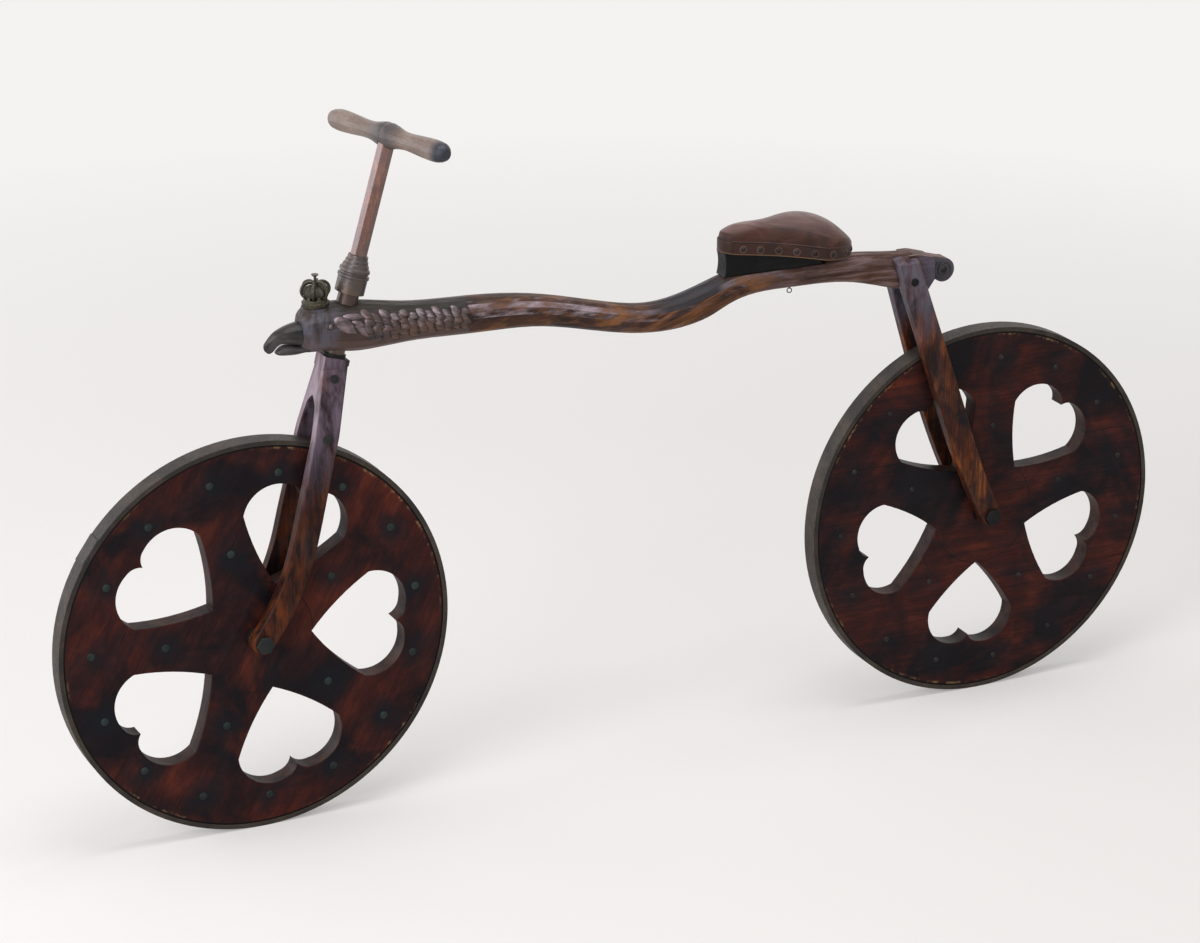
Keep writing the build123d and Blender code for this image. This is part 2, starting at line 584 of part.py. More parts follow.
# Beak: a hooked upper bill over a shorter lower one, each narrowing to its tip, let into the head
BEAK_X = HEAD_X + BEAK_LET_IN * HEAD_REACH
BILLS = (
    # rows of one bill: share of the length, then top, bottom and width as shares of the beak's width
    (
        (-0.14, 1.00, -0.05, 1.00), (0.0, 0.975, 0.0, 0.95), (0.22, 0.91, 0.125, 0.82),
        (0.45, 0.825, 0.195, 0.68), (0.64, 0.725, 0.15, 0.52), (0.77, 0.625, -0.05, 0.38),
        (0.89, 0.46, -0.115, 0.25), (1.0, 0.25, 0.05, 0.10),
    ),
    (
        (-0.14, 0.10, -0.225, 0.80), (0.0, 0.09, -0.215, 0.75), (0.24, 0.115, -0.255, 0.65),
        (0.45, 0.145, -0.25, 0.52), (0.61, 0.05, -0.22, 0.38), (0.70, -0.075, -0.15, 0.18),
    ),
)

with BuildPart() as beak:
    for bill in BILLS:
        for along, top, bottom, width in bill:
            middle = BEAM_HEIGHT + (top + bottom) / 2 * BEAK_WIDTH
            with BuildSketch(cross_plane(BEAK_X + along * BEAK_LENGTH, middle)):
                add(hewn_section(width * BEAK_WIDTH, (top - bottom) * BEAK_WIDTH, BEAK_SIDES))
        loft()
    add(backbone.part, mode=Mode.SUBTRACT)
write(beak, "beak")

# Crown: a band sunk in the head, six ribs bowed over it and a flared finial
BAND_PROFILE = (
    # share of the height, share of the base radius
    (0.0, 1.0), (0.11, 1.0), (0.13, 1.07), (0.18, 1.07), (0.20, 0.98), (0.26, 0.98), (0.28, 0.90),
)
FINIAL_PROFILE = ((0.64, 0.26), (0.72, 0.22), (0.77, 0.12), (0.92, 0.11), (0.98, 0.30), (1.0, 0.30))
CROWN_PLANE = Plane(origin=(CROWN_X, 0, CROWN_SEAT), x_dir=(1, 0, 0), z_dir=(0, -1, 0))
CROWN_TALL = CROWN_HEIGHT + CROWN_SUNK
BAND_TOP = BAND_PROFILE[-1][0] * CROWN_TALL
RIB_TOP = FINIAL_PROFILE[1][0] * CROWN_TALL

with BuildPart() as crown:
    for profile in (BAND_PROFILE, FINIAL_PROFILE):
        with BuildSketch(CROWN_PLANE):
            rings = [(radius * CROWN_BASE_DIAMETER / 2, up * CROWN_TALL) for up, radius in profile]
            Polygon((0, rings[0][1]), *rings, (0, rings[-1][1]), align=None)
        revolve(axis=Axis((CROWN_X, 0, CROWN_SEAT), (0, 0, 1)))
    for turn in (0, 60, 120):
        with BuildSketch(Plane(origin=(CROWN_X, 0, CROWN_SEAT), x_dir=Vector(1, 0, 0).rotate(Axis.Z, turn),
                               z_dir=Vector(0, -1, 0).rotate(Axis.Z, turn))):
            foot = CROWN_FOOT_SHARE * CROWN_BASE_DIAMETER / 2
            bow = CROWN_MAX_DIAMETER / 2
            inner_foot = foot - CROWN_RIB
            inner_bow = bow - CROWN_RIB
            bow_height = (BAND_TOP + RIB_TOP) / 2
            with BuildLine():
                Line((-foot, BAND_TOP), (-inner_foot, BAND_TOP))
                ThreePointArc((-inner_foot, BAND_TOP), (-inner_bow, bow_height), (0, RIB_TOP - CROWN_RIB))
                ThreePointArc((0, RIB_TOP - CROWN_RIB), (inner_bow, bow_height), (inner_foot, BAND_TOP))
                Line((inner_foot, BAND_TOP), (foot, BAND_TOP))
                ThreePointArc((foot, BAND_TOP), (bow, bow_height), (0, RIB_TOP))
                ThreePointArc((0, RIB_TOP), (-bow, bow_height), (-foot, BAND_TOP))
            make_face()
        extrude(amount=CROWN_RIB / 2, both=True)
write(crown, "crown")


def saddle_plan(inset):
    """Draw the saddle from above, wide behind and narrow at the nose, drawn in by an inset."""
    nose = SADDLE_NOSE_WIDTH / 2 - inset
    wide = SADDLE_WIDTH / 2 - inset
    nose_root = SADDLE_LENGTH / 2 - SADDLE_NOSE_WIDTH / 2
    hip = (SADDLE_WIDTH - SADDLE_LENGTH) / 2
    waist = (SADDLE_WAIST_AHEAD * SADDLE_LENGTH, nose + SADDLE_WAIST_SHARE * (wide - nose))
    with BuildSketch(mode=Mode.PRIVATE) as plan:
        with BuildLine():
            ThreePointArc((nose_root, nose), (nose_root + nose, 0), (nose_root, -nose))
            ThreePointArc((nose_root, -nose), (waist[0], -waist[1]), (hip, -wide))
            ThreePointArc((hip, -wide), (hip - wide, 0), (hip, wide))
            ThreePointArc((hip, wide), waist, (nose_root, nose))
        make_face()
    return plan.sketch


def board_underside(x):
    """Height of the tilted saddle board's underside at a place along the machine."""
    return SADDLE_BOARD_BOTTOM + (x - SADDLE_X) * tan(radians(SADDLE_TILT))


# Saddle: a block on the backbone, a tilted board on the block and leather drawn over the board
with BuildPart() as saddle_block:
    with BuildSketch(side_plane(0)):
        with BuildLine():
            block_top = board_underside(BLOCK_FRONT)
            hollow = (BLOCK_FRONT - 0.1 * SADDLE_BLOCK_WIDTH, (SADDLE_FLAT + block_top) / 2)
            Line((BLOCK_BACK, SADDLE_FLAT), (BLOCK_FRONT, SADDLE_FLAT))
            ThreePointArc((BLOCK_FRONT, SADDLE_FLAT), hollow, (BLOCK_FRONT, block_top))
            Line((BLOCK_FRONT, block_top), (BLOCK_BACK, board_underside(BLOCK_BACK)))
            Line((BLOCK_BACK, board_underside(BLOCK_BACK)), (BLOCK_BACK, SADDLE_FLAT))
        make_face()
    extrude(amount=SADDLE_BLOCK_WIDTH / 2, both=True)
write(saddle_block, "saddle_block")

with BuildPart() as saddle_board:
    with BuildSketch(SADDLE_PLANE):
        add(saddle_plan(LEATHER_THICKNESS))
    extrude(amount=SADDLE_BOARD_THICKNESS)
write(saddle_board, "saddle_board")

SADDLE_SECTIONS = (
    # shares: along the half length, of the half width, then shoulder and crest of the height
    (1.02, 0.30, 0.28, 0.50), (0.86, 0.37, 0.34, 0.65), (0.45, 0.46, 0.36, 0.80),
    (0.05, 0.72, 0.37, 0.94), (-0.183, 0.92, 0.37, 1.0), (-0.42, 1.02, 0.36, 0.96),
    (-0.66, 1.0, 0.34, 0.80), (-0.86, 0.84, 0.31, 0.53), (-1.02, 0.60, 0.28, 0.33),
)

with BuildPart() as saddle_leather:
    for along, half_share, shoulder_share, crest_share in SADDLE_SECTIONS:
        half = half_share * SADDLE_WIDTH / 2
        shoulder = shoulder_share * SADDLE_HEIGHT
        station = SADDLE_PLANE.from_local_coords(Vector(along * SADDLE_LENGTH / 2, 0, 0))
        with BuildSketch(Plane(origin=station, x_dir=LEFT, z_dir=SADDLE_ALONG)):
            with BuildLine():
                Polyline((-half, shoulder), (-half, 0), (half, 0), (half, shoulder))
                ThreePointArc((half, shoulder), (0, crest_share * SADDLE_HEIGHT), (-half, shoulder))
            make_face()
    loft()
    with BuildSketch(SADDLE_PLANE):
        add(saddle_plan(0))
    extrude(amount=2 * SADDLE_HEIGHT, mode=Mode.INTERSECT)
    add(saddle_board.part, mode=Mode.SUBTRACT)
write(saddle_leather, "saddle_leather")
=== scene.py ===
"""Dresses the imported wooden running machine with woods, irons, leather, nails and carving on a pale floor."""
import bpy
import math
from mathutils import Matrix, Vector
from mathutils.bvhtree import BVHTree


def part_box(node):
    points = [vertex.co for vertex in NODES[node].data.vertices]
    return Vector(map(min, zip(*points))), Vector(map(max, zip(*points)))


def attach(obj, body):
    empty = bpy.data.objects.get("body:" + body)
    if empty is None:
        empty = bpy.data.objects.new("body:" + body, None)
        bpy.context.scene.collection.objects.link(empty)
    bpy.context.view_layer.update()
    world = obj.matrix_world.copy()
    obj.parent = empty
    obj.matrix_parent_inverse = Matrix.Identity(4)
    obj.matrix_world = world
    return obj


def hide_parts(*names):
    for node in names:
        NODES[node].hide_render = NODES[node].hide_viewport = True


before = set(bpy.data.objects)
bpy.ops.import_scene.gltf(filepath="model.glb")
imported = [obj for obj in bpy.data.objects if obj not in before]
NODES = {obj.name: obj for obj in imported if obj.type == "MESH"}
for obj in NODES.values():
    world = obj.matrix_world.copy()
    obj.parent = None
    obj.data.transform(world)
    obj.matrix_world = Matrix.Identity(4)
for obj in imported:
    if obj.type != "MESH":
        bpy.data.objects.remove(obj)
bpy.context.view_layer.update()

# Places of the machine, in metres from the top of the saddle
FLOOR_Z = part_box("front_tyre")[0][2]
FRONT_HUB = sum((Vector(c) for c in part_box("front_disc")), Vector()) / 2
REAR_HUB = sum((Vector(c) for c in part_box("rear_disc")), Vector()) / 2
DISC_HALF = (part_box("front_disc")[1][1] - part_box("front_disc")[0][1]) / 2
DISC_RADIUS = (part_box("front_disc")[1][2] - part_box("front_disc")[0][2]) / 2

# Wheels: count and radius of each ring of nails, each wheel's first nail, and its nails' radius and height
NAIL_RINGS = ((15, 0.256), (5, 0.142))
FRONT_NAIL_ANGLE, REAR_NAIL_ANGLE = math.radians(75.2), math.radians(-48.5)
FRONT_NAIL, REAR_NAIL = (0.0062, 0.0018), (0.0045, 0.0022)
NAIL_SINK = 0.0002
PLANK_JOINTS = (-0.118, 0.104)
FRONT_GRAIN_TURN = math.radians(-60)
SCRIBED_CIRCLE = 0.0875
LAP_SIZE = (0.044, 0.0305, 0.0012)
LAP_EDGE = 0.0004
LAP_ANGLE = math.radians(35.0)
LAP_LIFT = 0.0072

# Handle: its turn on the stem and its half length
HANDLE_TURN = math.radians(15.6)
HANDLE_WAY = Vector((-math.sin(HANDLE_TURN), math.cos(HANDLE_TURN), 0.0))
HANDLE_HALF = 0.134
HANDLE_GRAIN = (0.0, 0.0, math.radians(-74))
UPRIGHT = (0.0, math.radians(90), 0.0)

# Carved head: the middle of the neck, and the feathers, leaves and eyes along it, in millimetres and degrees
NECK_END = 888
NECK_LINE = ((880.0, 752.0), (982.0, 756.0), (1044.0, 759.5), (1074.0, 762.0), (1150.0, 764.0))
FEATHER_ROWS, FEATHERS_IN_ROW = 12, 4
FEATHER_START, FEATHER_RUN = 1051.0, 154.0
FEATHER_TOP, FEATHER_PITCH, FEATHER_CLOSING = 50.0, 19.0, 3.0
FEATHER_DROOP, FEATHER_LIFT = 36.0, 8.0
FEATHER_SIZE = (0.0215, 0.0122, 0.0025)
CHEEK_LEAVES = (
    # x, turn from the top, droop, and the length, width and rise in metres
    (1087.0, 74.0, 38.0, 0.044, 0.0210, 0.0044),
    (1073.0, 53.0, 8.0, 0.036, 0.0115, 0.0030),
    (1067.0, 71.0, 26.0, 0.024, 0.0100, 0.0028),
    (1064.0, 86.0, 36.0, 0.024, 0.0100, 0.0026),
    (1058.0, 98.0, 42.0, 0.022, 0.0095, 0.0022),
)
EYE_X, EYE_TURN, EYE_DROOP = 1110.0, 72.0, -8.0
CHEEK_LIFT = 3.0
EYE_LID = (0.0048, 0.0011, 24, (1.5, 0.75, 0.9))
EYE_BALL = (0.0042, 0.0022)
LEAF_NARROWING = ((0.35, 0.78, 0.9), (0.62, 0.66, 0.8), (0.85, 0.5, 0.7))

# Crown: the beads of its band, the leaves between its ribs and the folds of its cap
CROWN_BEADS = 18
BEAD_SIZE = (0.0021, 0.0019, 10)
BEAD_SINK, CROWN_LEAF_SINK = 0.0004, 0.0042
BAND_SHARE, LEAF_SHARE = 0.155, 0.135
CROWN_LEAF = (0.0115, 0.0074, 0.0017)
CAP_FOLDS = 12
CAP_SIZE = (0.0192, 0.0192, 0.0100)
CAP_LIFT = 0.0235

# Saddle: the tilted plane that the leather's lower edge lies in; places on it are in millimetres
SADDLE_TILT = math.radians(6.0)
SADDLE_ALONG = Vector((math.cos(SADDLE_TILT), 0.0, math.sin(SADDLE_TILT)))
SADDLE_UP = Vector((-math.sin(SADDLE_TILT), 0.0, math.cos(SADDLE_TILT)))
HIPS = -41.5
SKIRT_MIDDLE, SKIRT_LIFT, SKIRT_THICK, SKIRT_HALF = 9.6, 0.0006, 0.0007, 0.0086
TACK_LINE, TACK_LIFT, TACK_PITCH, TACK_REACH = 9.0, 0.0012, 0.0285, 0.096
TACK = (0.0042, 0.0021)
PUCKER = (0.0050, 0.0012, 20, (1.0, 1.0, 0.6))
MERGE_GAP, LEATHER_MESH = 0.0001, 0.004
SWELL_FORCE, SWELL_FRAMES, SWELL_MOST, SWELL_FREE = 4.0, 20, 0.0026, 0.02
WELT_STEPS, WELT_START, WELT_TURN = 46, 8.0, 2.6
WELT_LINE, WELT_FALL, WELT_LIFT, WELT_RADIUS = 19.5, 0.03, 0.0006, 0.0014
WELT_SINK, WELT_SINK_START, WELT_SINK_STEPS = 0.0016, 30, 15
SEAM_STEPS, SEAM_TURN, SEAM_TOP, SEAM_STEP = 12, 8.2, 20.0, 1.6
SEAM_LIFT, SEAM_RADIUS = 0.0008, 0.0013

# Screw eye: its ring, the ring's drop below the backbone, the opened end, and its shank's places and radius
SCREW_RING, RING_DROP, RING_WAY = (0.0036, 0.0008, 24), 0.0068, (0.25, 1, 0)
RING_OPEN_FROM, RING_OPENING = 0.0042, 0.0004
SHANK_LINE, SHANK_RADIUS = (0.002, -0.001, -0.0034), 0.0010

# Tail scroll: the volutes on its two ends
VOLUTE_STEPS, VOLUTE_START, VOLUTE_TURN = 46, math.radians(80.0), math.radians(19.0)
VOLUTE_REACH, VOLUTE_SIDE, VOLUTE_RADIUS, VOLUTE_CLOSING = 0.0172, 0.0118, 0.0019, 52.0
VOLUTE_EYE = (0.0048, 0.0030)

# Camera, worked out from the outlines of both wheels in the photograph
CAMERA_PLACE = Vector((2.7858, 5.1941, 1.7549))
CAMERA_AIM = Vector((-0.4008, -0.8483, -0.3461))
CAMERA_LENS = 121.04
CAMERA_SENSOR = 36.0

# Studio: the paper it is lined with, as the camera sees it, and its soft lamps
PALE_PAPER = (0.905, 0.893, 0.878)
FLOOR_PAPER, FLOOR_SIZE, FLOOR_X = (0.755, 0.735, 0.705), 60.0, 0.3
DOME_COLOUR, DOME_STRENGTH = (1.0, 0.99, 0.985), 0.32
LAMPS = (
    # name, place, target, size, watts, colour
    ("front_lamp", (4.4, 2.2, 1.5), (0.3, 0.0, -0.1), (2.6, 3.0), 150.0, (0.96, 0.96, 1.0)),
    ("far_lamp", (4.2, -2.6, 0.6), (0.5, 0.0, -0.1), (5.0, 2.2), 110.0, (0.93, 0.92, 1.0)),
    ("back_lamp", (-0.8, -4.6, 1.6), (0.2, 0.0, -0.1), (6.0, 2.4), 32.0, (0.95, 0.94, 1.0)),
    ("top_lamp", (0.2, 0.4, 3.8), (0.3, 0.0, -0.2), (3.4, 2.2), 120.0, (0.98, 0.97, 1.0)),
    ("side_lamp", (-0.6, 4.4, 1.8), (0.2, 0.0, -0.3), (2.4, 2.4), 25.0, (1.0, 0.98, 0.96)),
)

# Woods: the dark stain, the body colour, the worn colour and the pale bloom
LILAC = (0.235, 0.170, 0.185)
WHEEL_TONES = ((0.004, 0.004, 0.006), (0.044, 0.0095, 0.0070), (0.098, 0.020, 0.0105), (0.060, 0.036, 0.042))
BEAM_TONES = ((0.014, 0.009, 0.010), (0.085, 0.032, 0.018), (0.200, 0.080, 0.030), LILAC)
LEG_TONES = ((0.007, 0.0055, 0.007), (0.082, 0.019, 0.0065), (0.230, 0.066, 0.014), LILAC)
FORK_TONES = ((0.006, 0.005, 0.006), (0.042, 0.011, 0.006), (0.110, 0.030, 0.010), LILAC)
STEM_TONES = ((0.045, 0.015, 0.009), (0.150, 0.044, 0.023), (0.240, 0.082, 0.044), (0.36, 0.24, 0.24))
POST_TONES = ((0.04, 0.02, 0.012), (0.20, 0.085, 0.04), (0.26, 0.11, 0.05), (0.2, 0.15, 0.13))
HANDLE_TONES = ((0.060, 0.042, 0.035), (0.145, 0.103, 0.083), (0.215, 0.160, 0.128), (0.30, 0.25, 0.24))
BEAK_TONES = ((0.008, 0.008, 0.009), (0.028, 0.024, 0.022), (0.050, 0.038, 0.032), (0.14, 0.125, 0.145))
BLACK_TONES = ((0.003, 0.003, 0.004), (0.008, 0.008, 0.008), (0.014, 0.012, 0.012), (0.05, 0.045, 0.055))
FEATHER_TONES = ((0.014, 0.012, 0.014), (0.050, 0.031, 0.028), (0.105, 0.050, 0.029), (0.23, 0.165, 0.185))
# The cheek leaves' tones are a paler copy of the feather wood, a painted highlight
CHEEK_HIGHLIGHT_TONES = ((0.030, 0.022, 0.024), (0.185, 0.130, 0.138), (0.230, 0.150, 0.145), (0.40, 0.31, 0.34))
VOLUTE_TONES = ((0.006, 0.007, 0.007), (0.020, 0.024, 0.022), (0.040, 0.040, 0.034), (0.10, 0.11, 0.11))

# Leathers: the dark, the body and the worn colour
SADDLE_HIDE = ((0.017, 0.007, 0.005), (0.060, 0.021, 0.013), (0.105, 0.050, 0.038))
WELT_HIDE = ((0.010, 0.005, 0.004), (0.026, 0.011, 0.008), (0.06, 0.034, 0.028))
SKIRT_HIDE = ((0.017, 0.008, 0.006), (0.052, 0.020, 0.013), (0.120, 0.060, 0.048))
PUCKER_HIDE = ((0.040, 0.020, 0.016), (0.095, 0.052, 0.043), (0.150, 0.090, 0.078))
TAN_CUT = (0.30, 0.17, 0.09)
# Painted sheen on the leather's upward faces
PAINTED_TOP_SHEEN = (0.190, 0.118, 0.108)

# Marks on the woods, and painted highlights, sheen and shade
NAIL_STAIN = (0.006, 0.007, 0.010)
SCRIBED_DARK = (0.006, 0.004, 0.004)
# Dark of the plank cracks, also used for the painted shadow in the gap beside the hoop
CRACK_DARK_AND_GAP_SHADOW = (0.004, 0.003, 0.003)
# Painted shade on the walls of the heart cut-outs
HEART_WALL_SHADE = ((0.40, (0.006, 0.004, 0.004)), (0.64, (0.042, 0.022, 0.015)))
CHIPPED_RIM = (0.22, 0.13, 0.065)
# Painted shade and painted highlight on the carved feathers, set by the way each face is turned to the light
HOLLOW_PAINTED_SHADE, RIDGE_PAINTED_HIGHLIGHT = (0.010, 0.009, 0.011), (0.400, 0.310, 0.340)
# Tones round the beam by the way it faces; the lilac band at 0.70 is a painted highlight on the upper corner
BEAM_BANDS_AND_HIGHLIGHT = (
    (0.20, (0.050, 0.020, 0.011)), (0.46, (0.046, 0.022, 0.015)), (0.58, (0.022, 0.015, 0.017)),
    (0.70, (0.130, 0.088, 0.088)), (0.82, (0.070, 0.038, 0.026)), (0.97, (0.062, 0.035, 0.024)),
)
# Warm patches and stains in the wood, and the last colour is a painted highlight along the beam's upper corner
BEAM_GLOW, BEAM_STAIN, BEAM_CORNER_HIGHLIGHT = (0.225, 0.092, 0.030), (0.013, 0.009, 0.010), (0.330, 0.260, 0.280)
SLOPE_FLANK = ((0.40, (0.022, 0.012, 0.010)), (0.52, (0.120, 0.046, 0.017)), (0.66, (0.260, 0.118, 0.052)))
SLOPE_SLATE, TAIL_SLATE = (0.018, 0.017, 0.020), (0.085, 0.077, 0.112)
REAR_STREAKS = (
    (0.36, (0.022, 0.013, 0.012)), (0.50, (0.082, 0.041, 0.031)),
    (0.62, (0.165, 0.110, 0.112)), (0.74, (0.240, 0.108, 0.046)),
)
NECK_BANDS = (
    (0.15, (0.095, 0.058, 0.050)), (0.42, (0.058, 0.036, 0.030)), (0.56, (0.024, 0.020, 0.021)),
    (0.80, (0.020, 0.019, 0.015)), (0.97, (0.024, 0.022, 0.017)),
)
BROW_SHEEN = (0.095, 0.090, 0.112)
# Painted highlight on the fork's forward faces, painted sheen on its upper sides, and its worn brown
FORK_FRONT_HIGHLIGHT, FORK_SIDE_SHEEN, FORK_WORN = (0.300, 0.238, 0.268), (0.150, 0.112, 0.150), (0.120, 0.030, 0.008)
LEG_DARK, LEG_SLATE = (0.009, 0.006, 0.006), (0.112, 0.100, 0.128)
HANDLE_SHADE, HANDLE_END = (0.042, 0.035, 0.036), (0.020, 0.022, 0.032)


def spot(x, y, z):
    """A place given in millimetres: x ahead of the rear axle, y to the left, z above the floor."""
    return Vector((REAR_HUB.x + x / 1000, y / 1000, FLOOR_Z + z / 1000))


SADDLE_MIDDLE = spot(361.5, 0, 783)
SCROLL_MIDDLE = spot(83.7, 0, 717.0)
SCREW_EYE_BELOW = spot(347.6, 0, 600)


def on_saddle(along, across, up):
    """A place on the saddle, in millimetres along, across and up from the middle of its lower plane."""
    return SADDLE_MIDDLE + (SADDLE_ALONG * along + SADDLE_UP * up + Vector((0.0, across, 0.0))) / 1000


# Nodes of a material's tree

def material_nodes(name):
    """A new material with an empty tree but for its shader and output."""
    made = bpy.data.materials.new(name)
    made.use_nodes = True
    tree = made.node_tree
    tree.nodes.clear()
    out = tree.nodes.new("ShaderNodeOutputMaterial")
    shader = tree.nodes.new("ShaderNodeBsdfPrincipled")
    tree.links.new(shader.outputs["BSDF"], out.inputs["Surface"])
    return made, tree, shader


def add_node(tree, kind, values=None, **settings):
    """One shader node, with settings on the node and values or links on its sockets."""
    made = tree.nodes.new("ShaderNode" + kind)
    for key, value in settings.items():
        setattr(made, key, value)
    for key, value in (values or {}).items():
        if isinstance(value, bpy.types.NodeSocket):
            tree.links.new(value, made.inputs[key])
        else:
            made.inputs[key].default_value = value
    return made


def finish_shader(tree, shader, links, numbers):
    """Link what changes over the surface, and set what is the same all over on the shader's own sockets."""
    for name, socket in links.items():
        tree.links.new(socket, shader.inputs[name])
    for name, value in numbers.items():
        shader.inputs[name].default_value = value


def ramp(tree, factor, stops):
    """A colour ramp; each stop is a place and a colour or a grey."""
    made = add_node(tree, "ValToRGB", {"Fac": factor})
    points = made.color_ramp.elements
    while len(points) < len(stops):
        points.new(0.5)
    for point, (place, colour) in zip(points, stops):
        point.position = place
        shade = colour if isinstance(colour, tuple) else (colour,) * 3
        point.color = (*shade, 1.0)
    return made.outputs["Color"]


def mix(tree, factor, first, second):
    """A colour mix of two sockets or colours."""
    made = add_node(tree, "Mix", data_type="RGBA", blend_type="MIX")
    for socket, value in ((made.inputs[0], factor), (made.inputs[6], first), (made.inputs[7], second)):
        if isinstance(value, bpy.types.NodeSocket):
            tree.links.new(value, socket)
        elif isinstance(value, tuple):
            socket.default_value = (*value, 1.0)
        else:
            socket.default_value = value
    return made.outputs[2]


def calc(tree, operation, first, second=0.0):
    """A sum on grey sockets or numbers."""
    return add_node(tree, "Math", {0: first, 1: second}, operation=operation).outputs[0]


def times(tree, first, second):
    """Two greys multiplied."""
    return calc(tree, "MULTIPLY", first, second)


def away_from(tree, value, place):
    """How far a grey is from a number, whichever way."""
    return calc(tree, "ABSOLUTE", calc(tree, "SUBTRACT", value, place))


def ragged(tree, value, uneven, reach):
    """A grey made ragged by a noise around its middle."""
    return calc(tree, "ADD", value, times(tree, calc(tree, "SUBTRACT", uneven, 0.5), reach))


def span(tree, value, low, high, first=0.0, last=1.0):
    """A grey that goes from first to last while a value goes from low to high."""
    names = {"Value": value, "From Min": low, "From Max": high, "To Min": first, "To Max": last}
    return add_node(tree, "MapRange", names).outputs[0]


def along_span(tree, x, low, high, first=0.0, last=1.0):
    """A grey that changes between two places along the machine, in millimetres."""
    return span(tree, x, spot(low, 0, 0).x, spot(high, 0, 0).x, first, last)


def height_span(tree, z, low, high):
    """A grey that goes from 0 to 1 between two heights above the floor, in millimetres."""
    return span(tree, z, spot(0, 0, low).z, spot(0, 0, high).z)


def noise(tree, where, scale, detail=4.0, roughness=0.55, distortion=0.0):
    """A noise texture's grey socket."""
    return add_node(
        tree, "TexNoise",
        {"Vector": where, "Scale": scale, "Detail": detail, "Roughness": roughness, "Distortion": distortion},
    ).outputs["Fac"]


def place_coords(tree, turn=(0.0, 0.0, 0.0), scale=(1.0, 1.0, 1.0), shift=(0.0, 0.0, 0.0)):
    """Object coordinates, shifted, turned and stretched."""
    coords = add_node(tree, "TexCoord").outputs["Object"]
    moved = add_node(tree, "Mapping", {"Vector": coords, "Location": shift}).outputs[0]
    turned = add_node(tree, "Mapping", {"Vector": moved, "Rotation": turn}).outputs[0]
    return add_node(tree, "Mapping", {"Vector": turned, "Scale": scale}).outputs[0]


def parts(tree, vector):
    """The x, y and z of a vector."""
    return add_node(tree, "SeparateXYZ", {0: vector}).outputs


def normal_of(tree):
    """The way that the surface faces."""
    return add_node(tree, "NewGeometry").outputs["Normal"]


def dot(tree, first, second):
    """How far one vector goes along another."""
    return add_node(tree, "VectorMath", {0: first, 1: second}, operation="DOT_PRODUCT").outputs["Value"]


def length_of(tree, vector):
    """The length of a vector."""
    return add_node(tree, "VectorMath", {0: vector}, operation="LENGTH").outputs["Value"]


def relief(tree, height, strength, distance, normal=None):
    """A bump from a grey height, on top of another normal if one is given."""
    values = {"Height": height, "Strength": strength, "Distance": distance}
    if normal is not None:
        values["Normal"] = normal
    return add_node(tree, "Bump", values).outputs[0]


def edge_mask(tree, radius, low=0.86, high=0.995):
    """A grey that is 1 along edges, and the softened normal that gives it."""
    soft = add_node(tree, "Bevel", {"Radius": radius}, samples=4).outputs[0]
    return span(tree, dot(tree, soft, normal_of(tree)), high, low), soft


def shifted(colour, share):
    """A colour made lighter or darker by a share."""
    return tuple(c * share for c in colour)


# Finishes: wood, iron and leather

def old_wood(name, tones, turn=(0.0, 0.0, 0.0), blotch=7.0, grain=26.0, gloss=0.42, coat=0.25, bloom=0.25,
             edge=0.5, hewn=0.5, cover=(0.42, 0.60), shine=0.3, round_edge=0.0035, figure=0.8, extra=None):
    """Worn varnished hardwood with grain along the turned x axis.

    It has dark stains, warm worn patches, a pale bloom and paler worn edges, which on the stem are a painted
    highlight.
    tones are the dark stain, the body colour, the worn colour and the bloom; cover says how much the stain
    covers; extra paints on top.
    """
    made, tree, shader = material_nodes(name)
    streaks = noise(tree, place_coords(tree, turn, (1.6, grain, grain)), 3.2, 8.0, 0.62, 0.4)
    pores = noise(tree, place_coords(tree, turn, (9.0, 190.0, 190.0)), 4.0, 3.0)
    clouds = noise(tree, place_coords(tree), blotch, 5.0, 0.62, 0.6)
    wear = noise(tree, place_coords(tree, turn, (4.0, 9.0, 9.0), (0.37, 0.11, 0.23)), 3.0, 5.0, 0.65)
    haze = noise(tree, place_coords(tree, turn, (5.0, 11.0, 11.0), (1.7, 0.6, 2.3)), 2.6, 4.0, 0.6)
    fibres = noise(tree, place_coords(tree, turn, (3.0, 75.0, 75.0), (0.2, 0.7, 0.4)), 4.0, 5.0, 0.6)
    dents = noise(tree, place_coords(tree, turn, (12.0, 30.0, 30.0)), 2.4, 3.0, 0.5)
    dark, body, worn, pale = tones
    paled, soft = edge_mask(tree, round_edge)
    colour = mix(tree, ramp(tree, wear, ((0.44, 0.0), (0.64, 1.0))), body, worn)
    colour = mix(tree, ramp(tree, streaks, ((0.36, figure), (0.58, 0.0))), colour, shifted(dark, 1.5))
    colour = mix(tree, ramp(tree, fibres, ((0.40, 0.6 * figure), (0.56, 0.0))), colour, shifted(dark, 0.8))
    colour = mix(tree, ramp(tree, clouds, ((cover[0], 0.0), (cover[1], 0.95))), colour, dark)
    colour = mix(tree, ramp(tree, haze, ((0.50, 0.0), (0.74, bloom))), colour, pale)
    colour = mix(tree, ramp(tree, pores, ((0.30, 0.55), (0.46, 0.0))), colour, shifted(dark, 0.4))
    # Paler edges: wear, and where the edge share is high, as on the stem, a painted highlight
    edge_wear_and_highlight = times(tree, paled, ramp(tree, wear, ((0.38, 0.0), (0.62, edge))))
    colour = mix(tree, edge_wear_and_highlight, colour, shifted(worn, 1.9))
    if extra:
        colour = extra(tree, colour)
    rough = ramp(tree, clouds, ((0.3, gloss + 0.18), (0.7, gloss)))
    rough_cut = relief(tree, dents, hewn, 0.004, soft)
    fine_cut = relief(tree, mix(tree, 0.35, streaks, pores), 0.3, 0.0016, rough_cut)
    finish_shader(tree, shader, {"Base Color": colour, "Roughness": rough, "Normal": fine_cut},
                  {"Specular IOR Level": shine, "Coat Weight": coat, "Coat Roughness": 0.2})
    return made


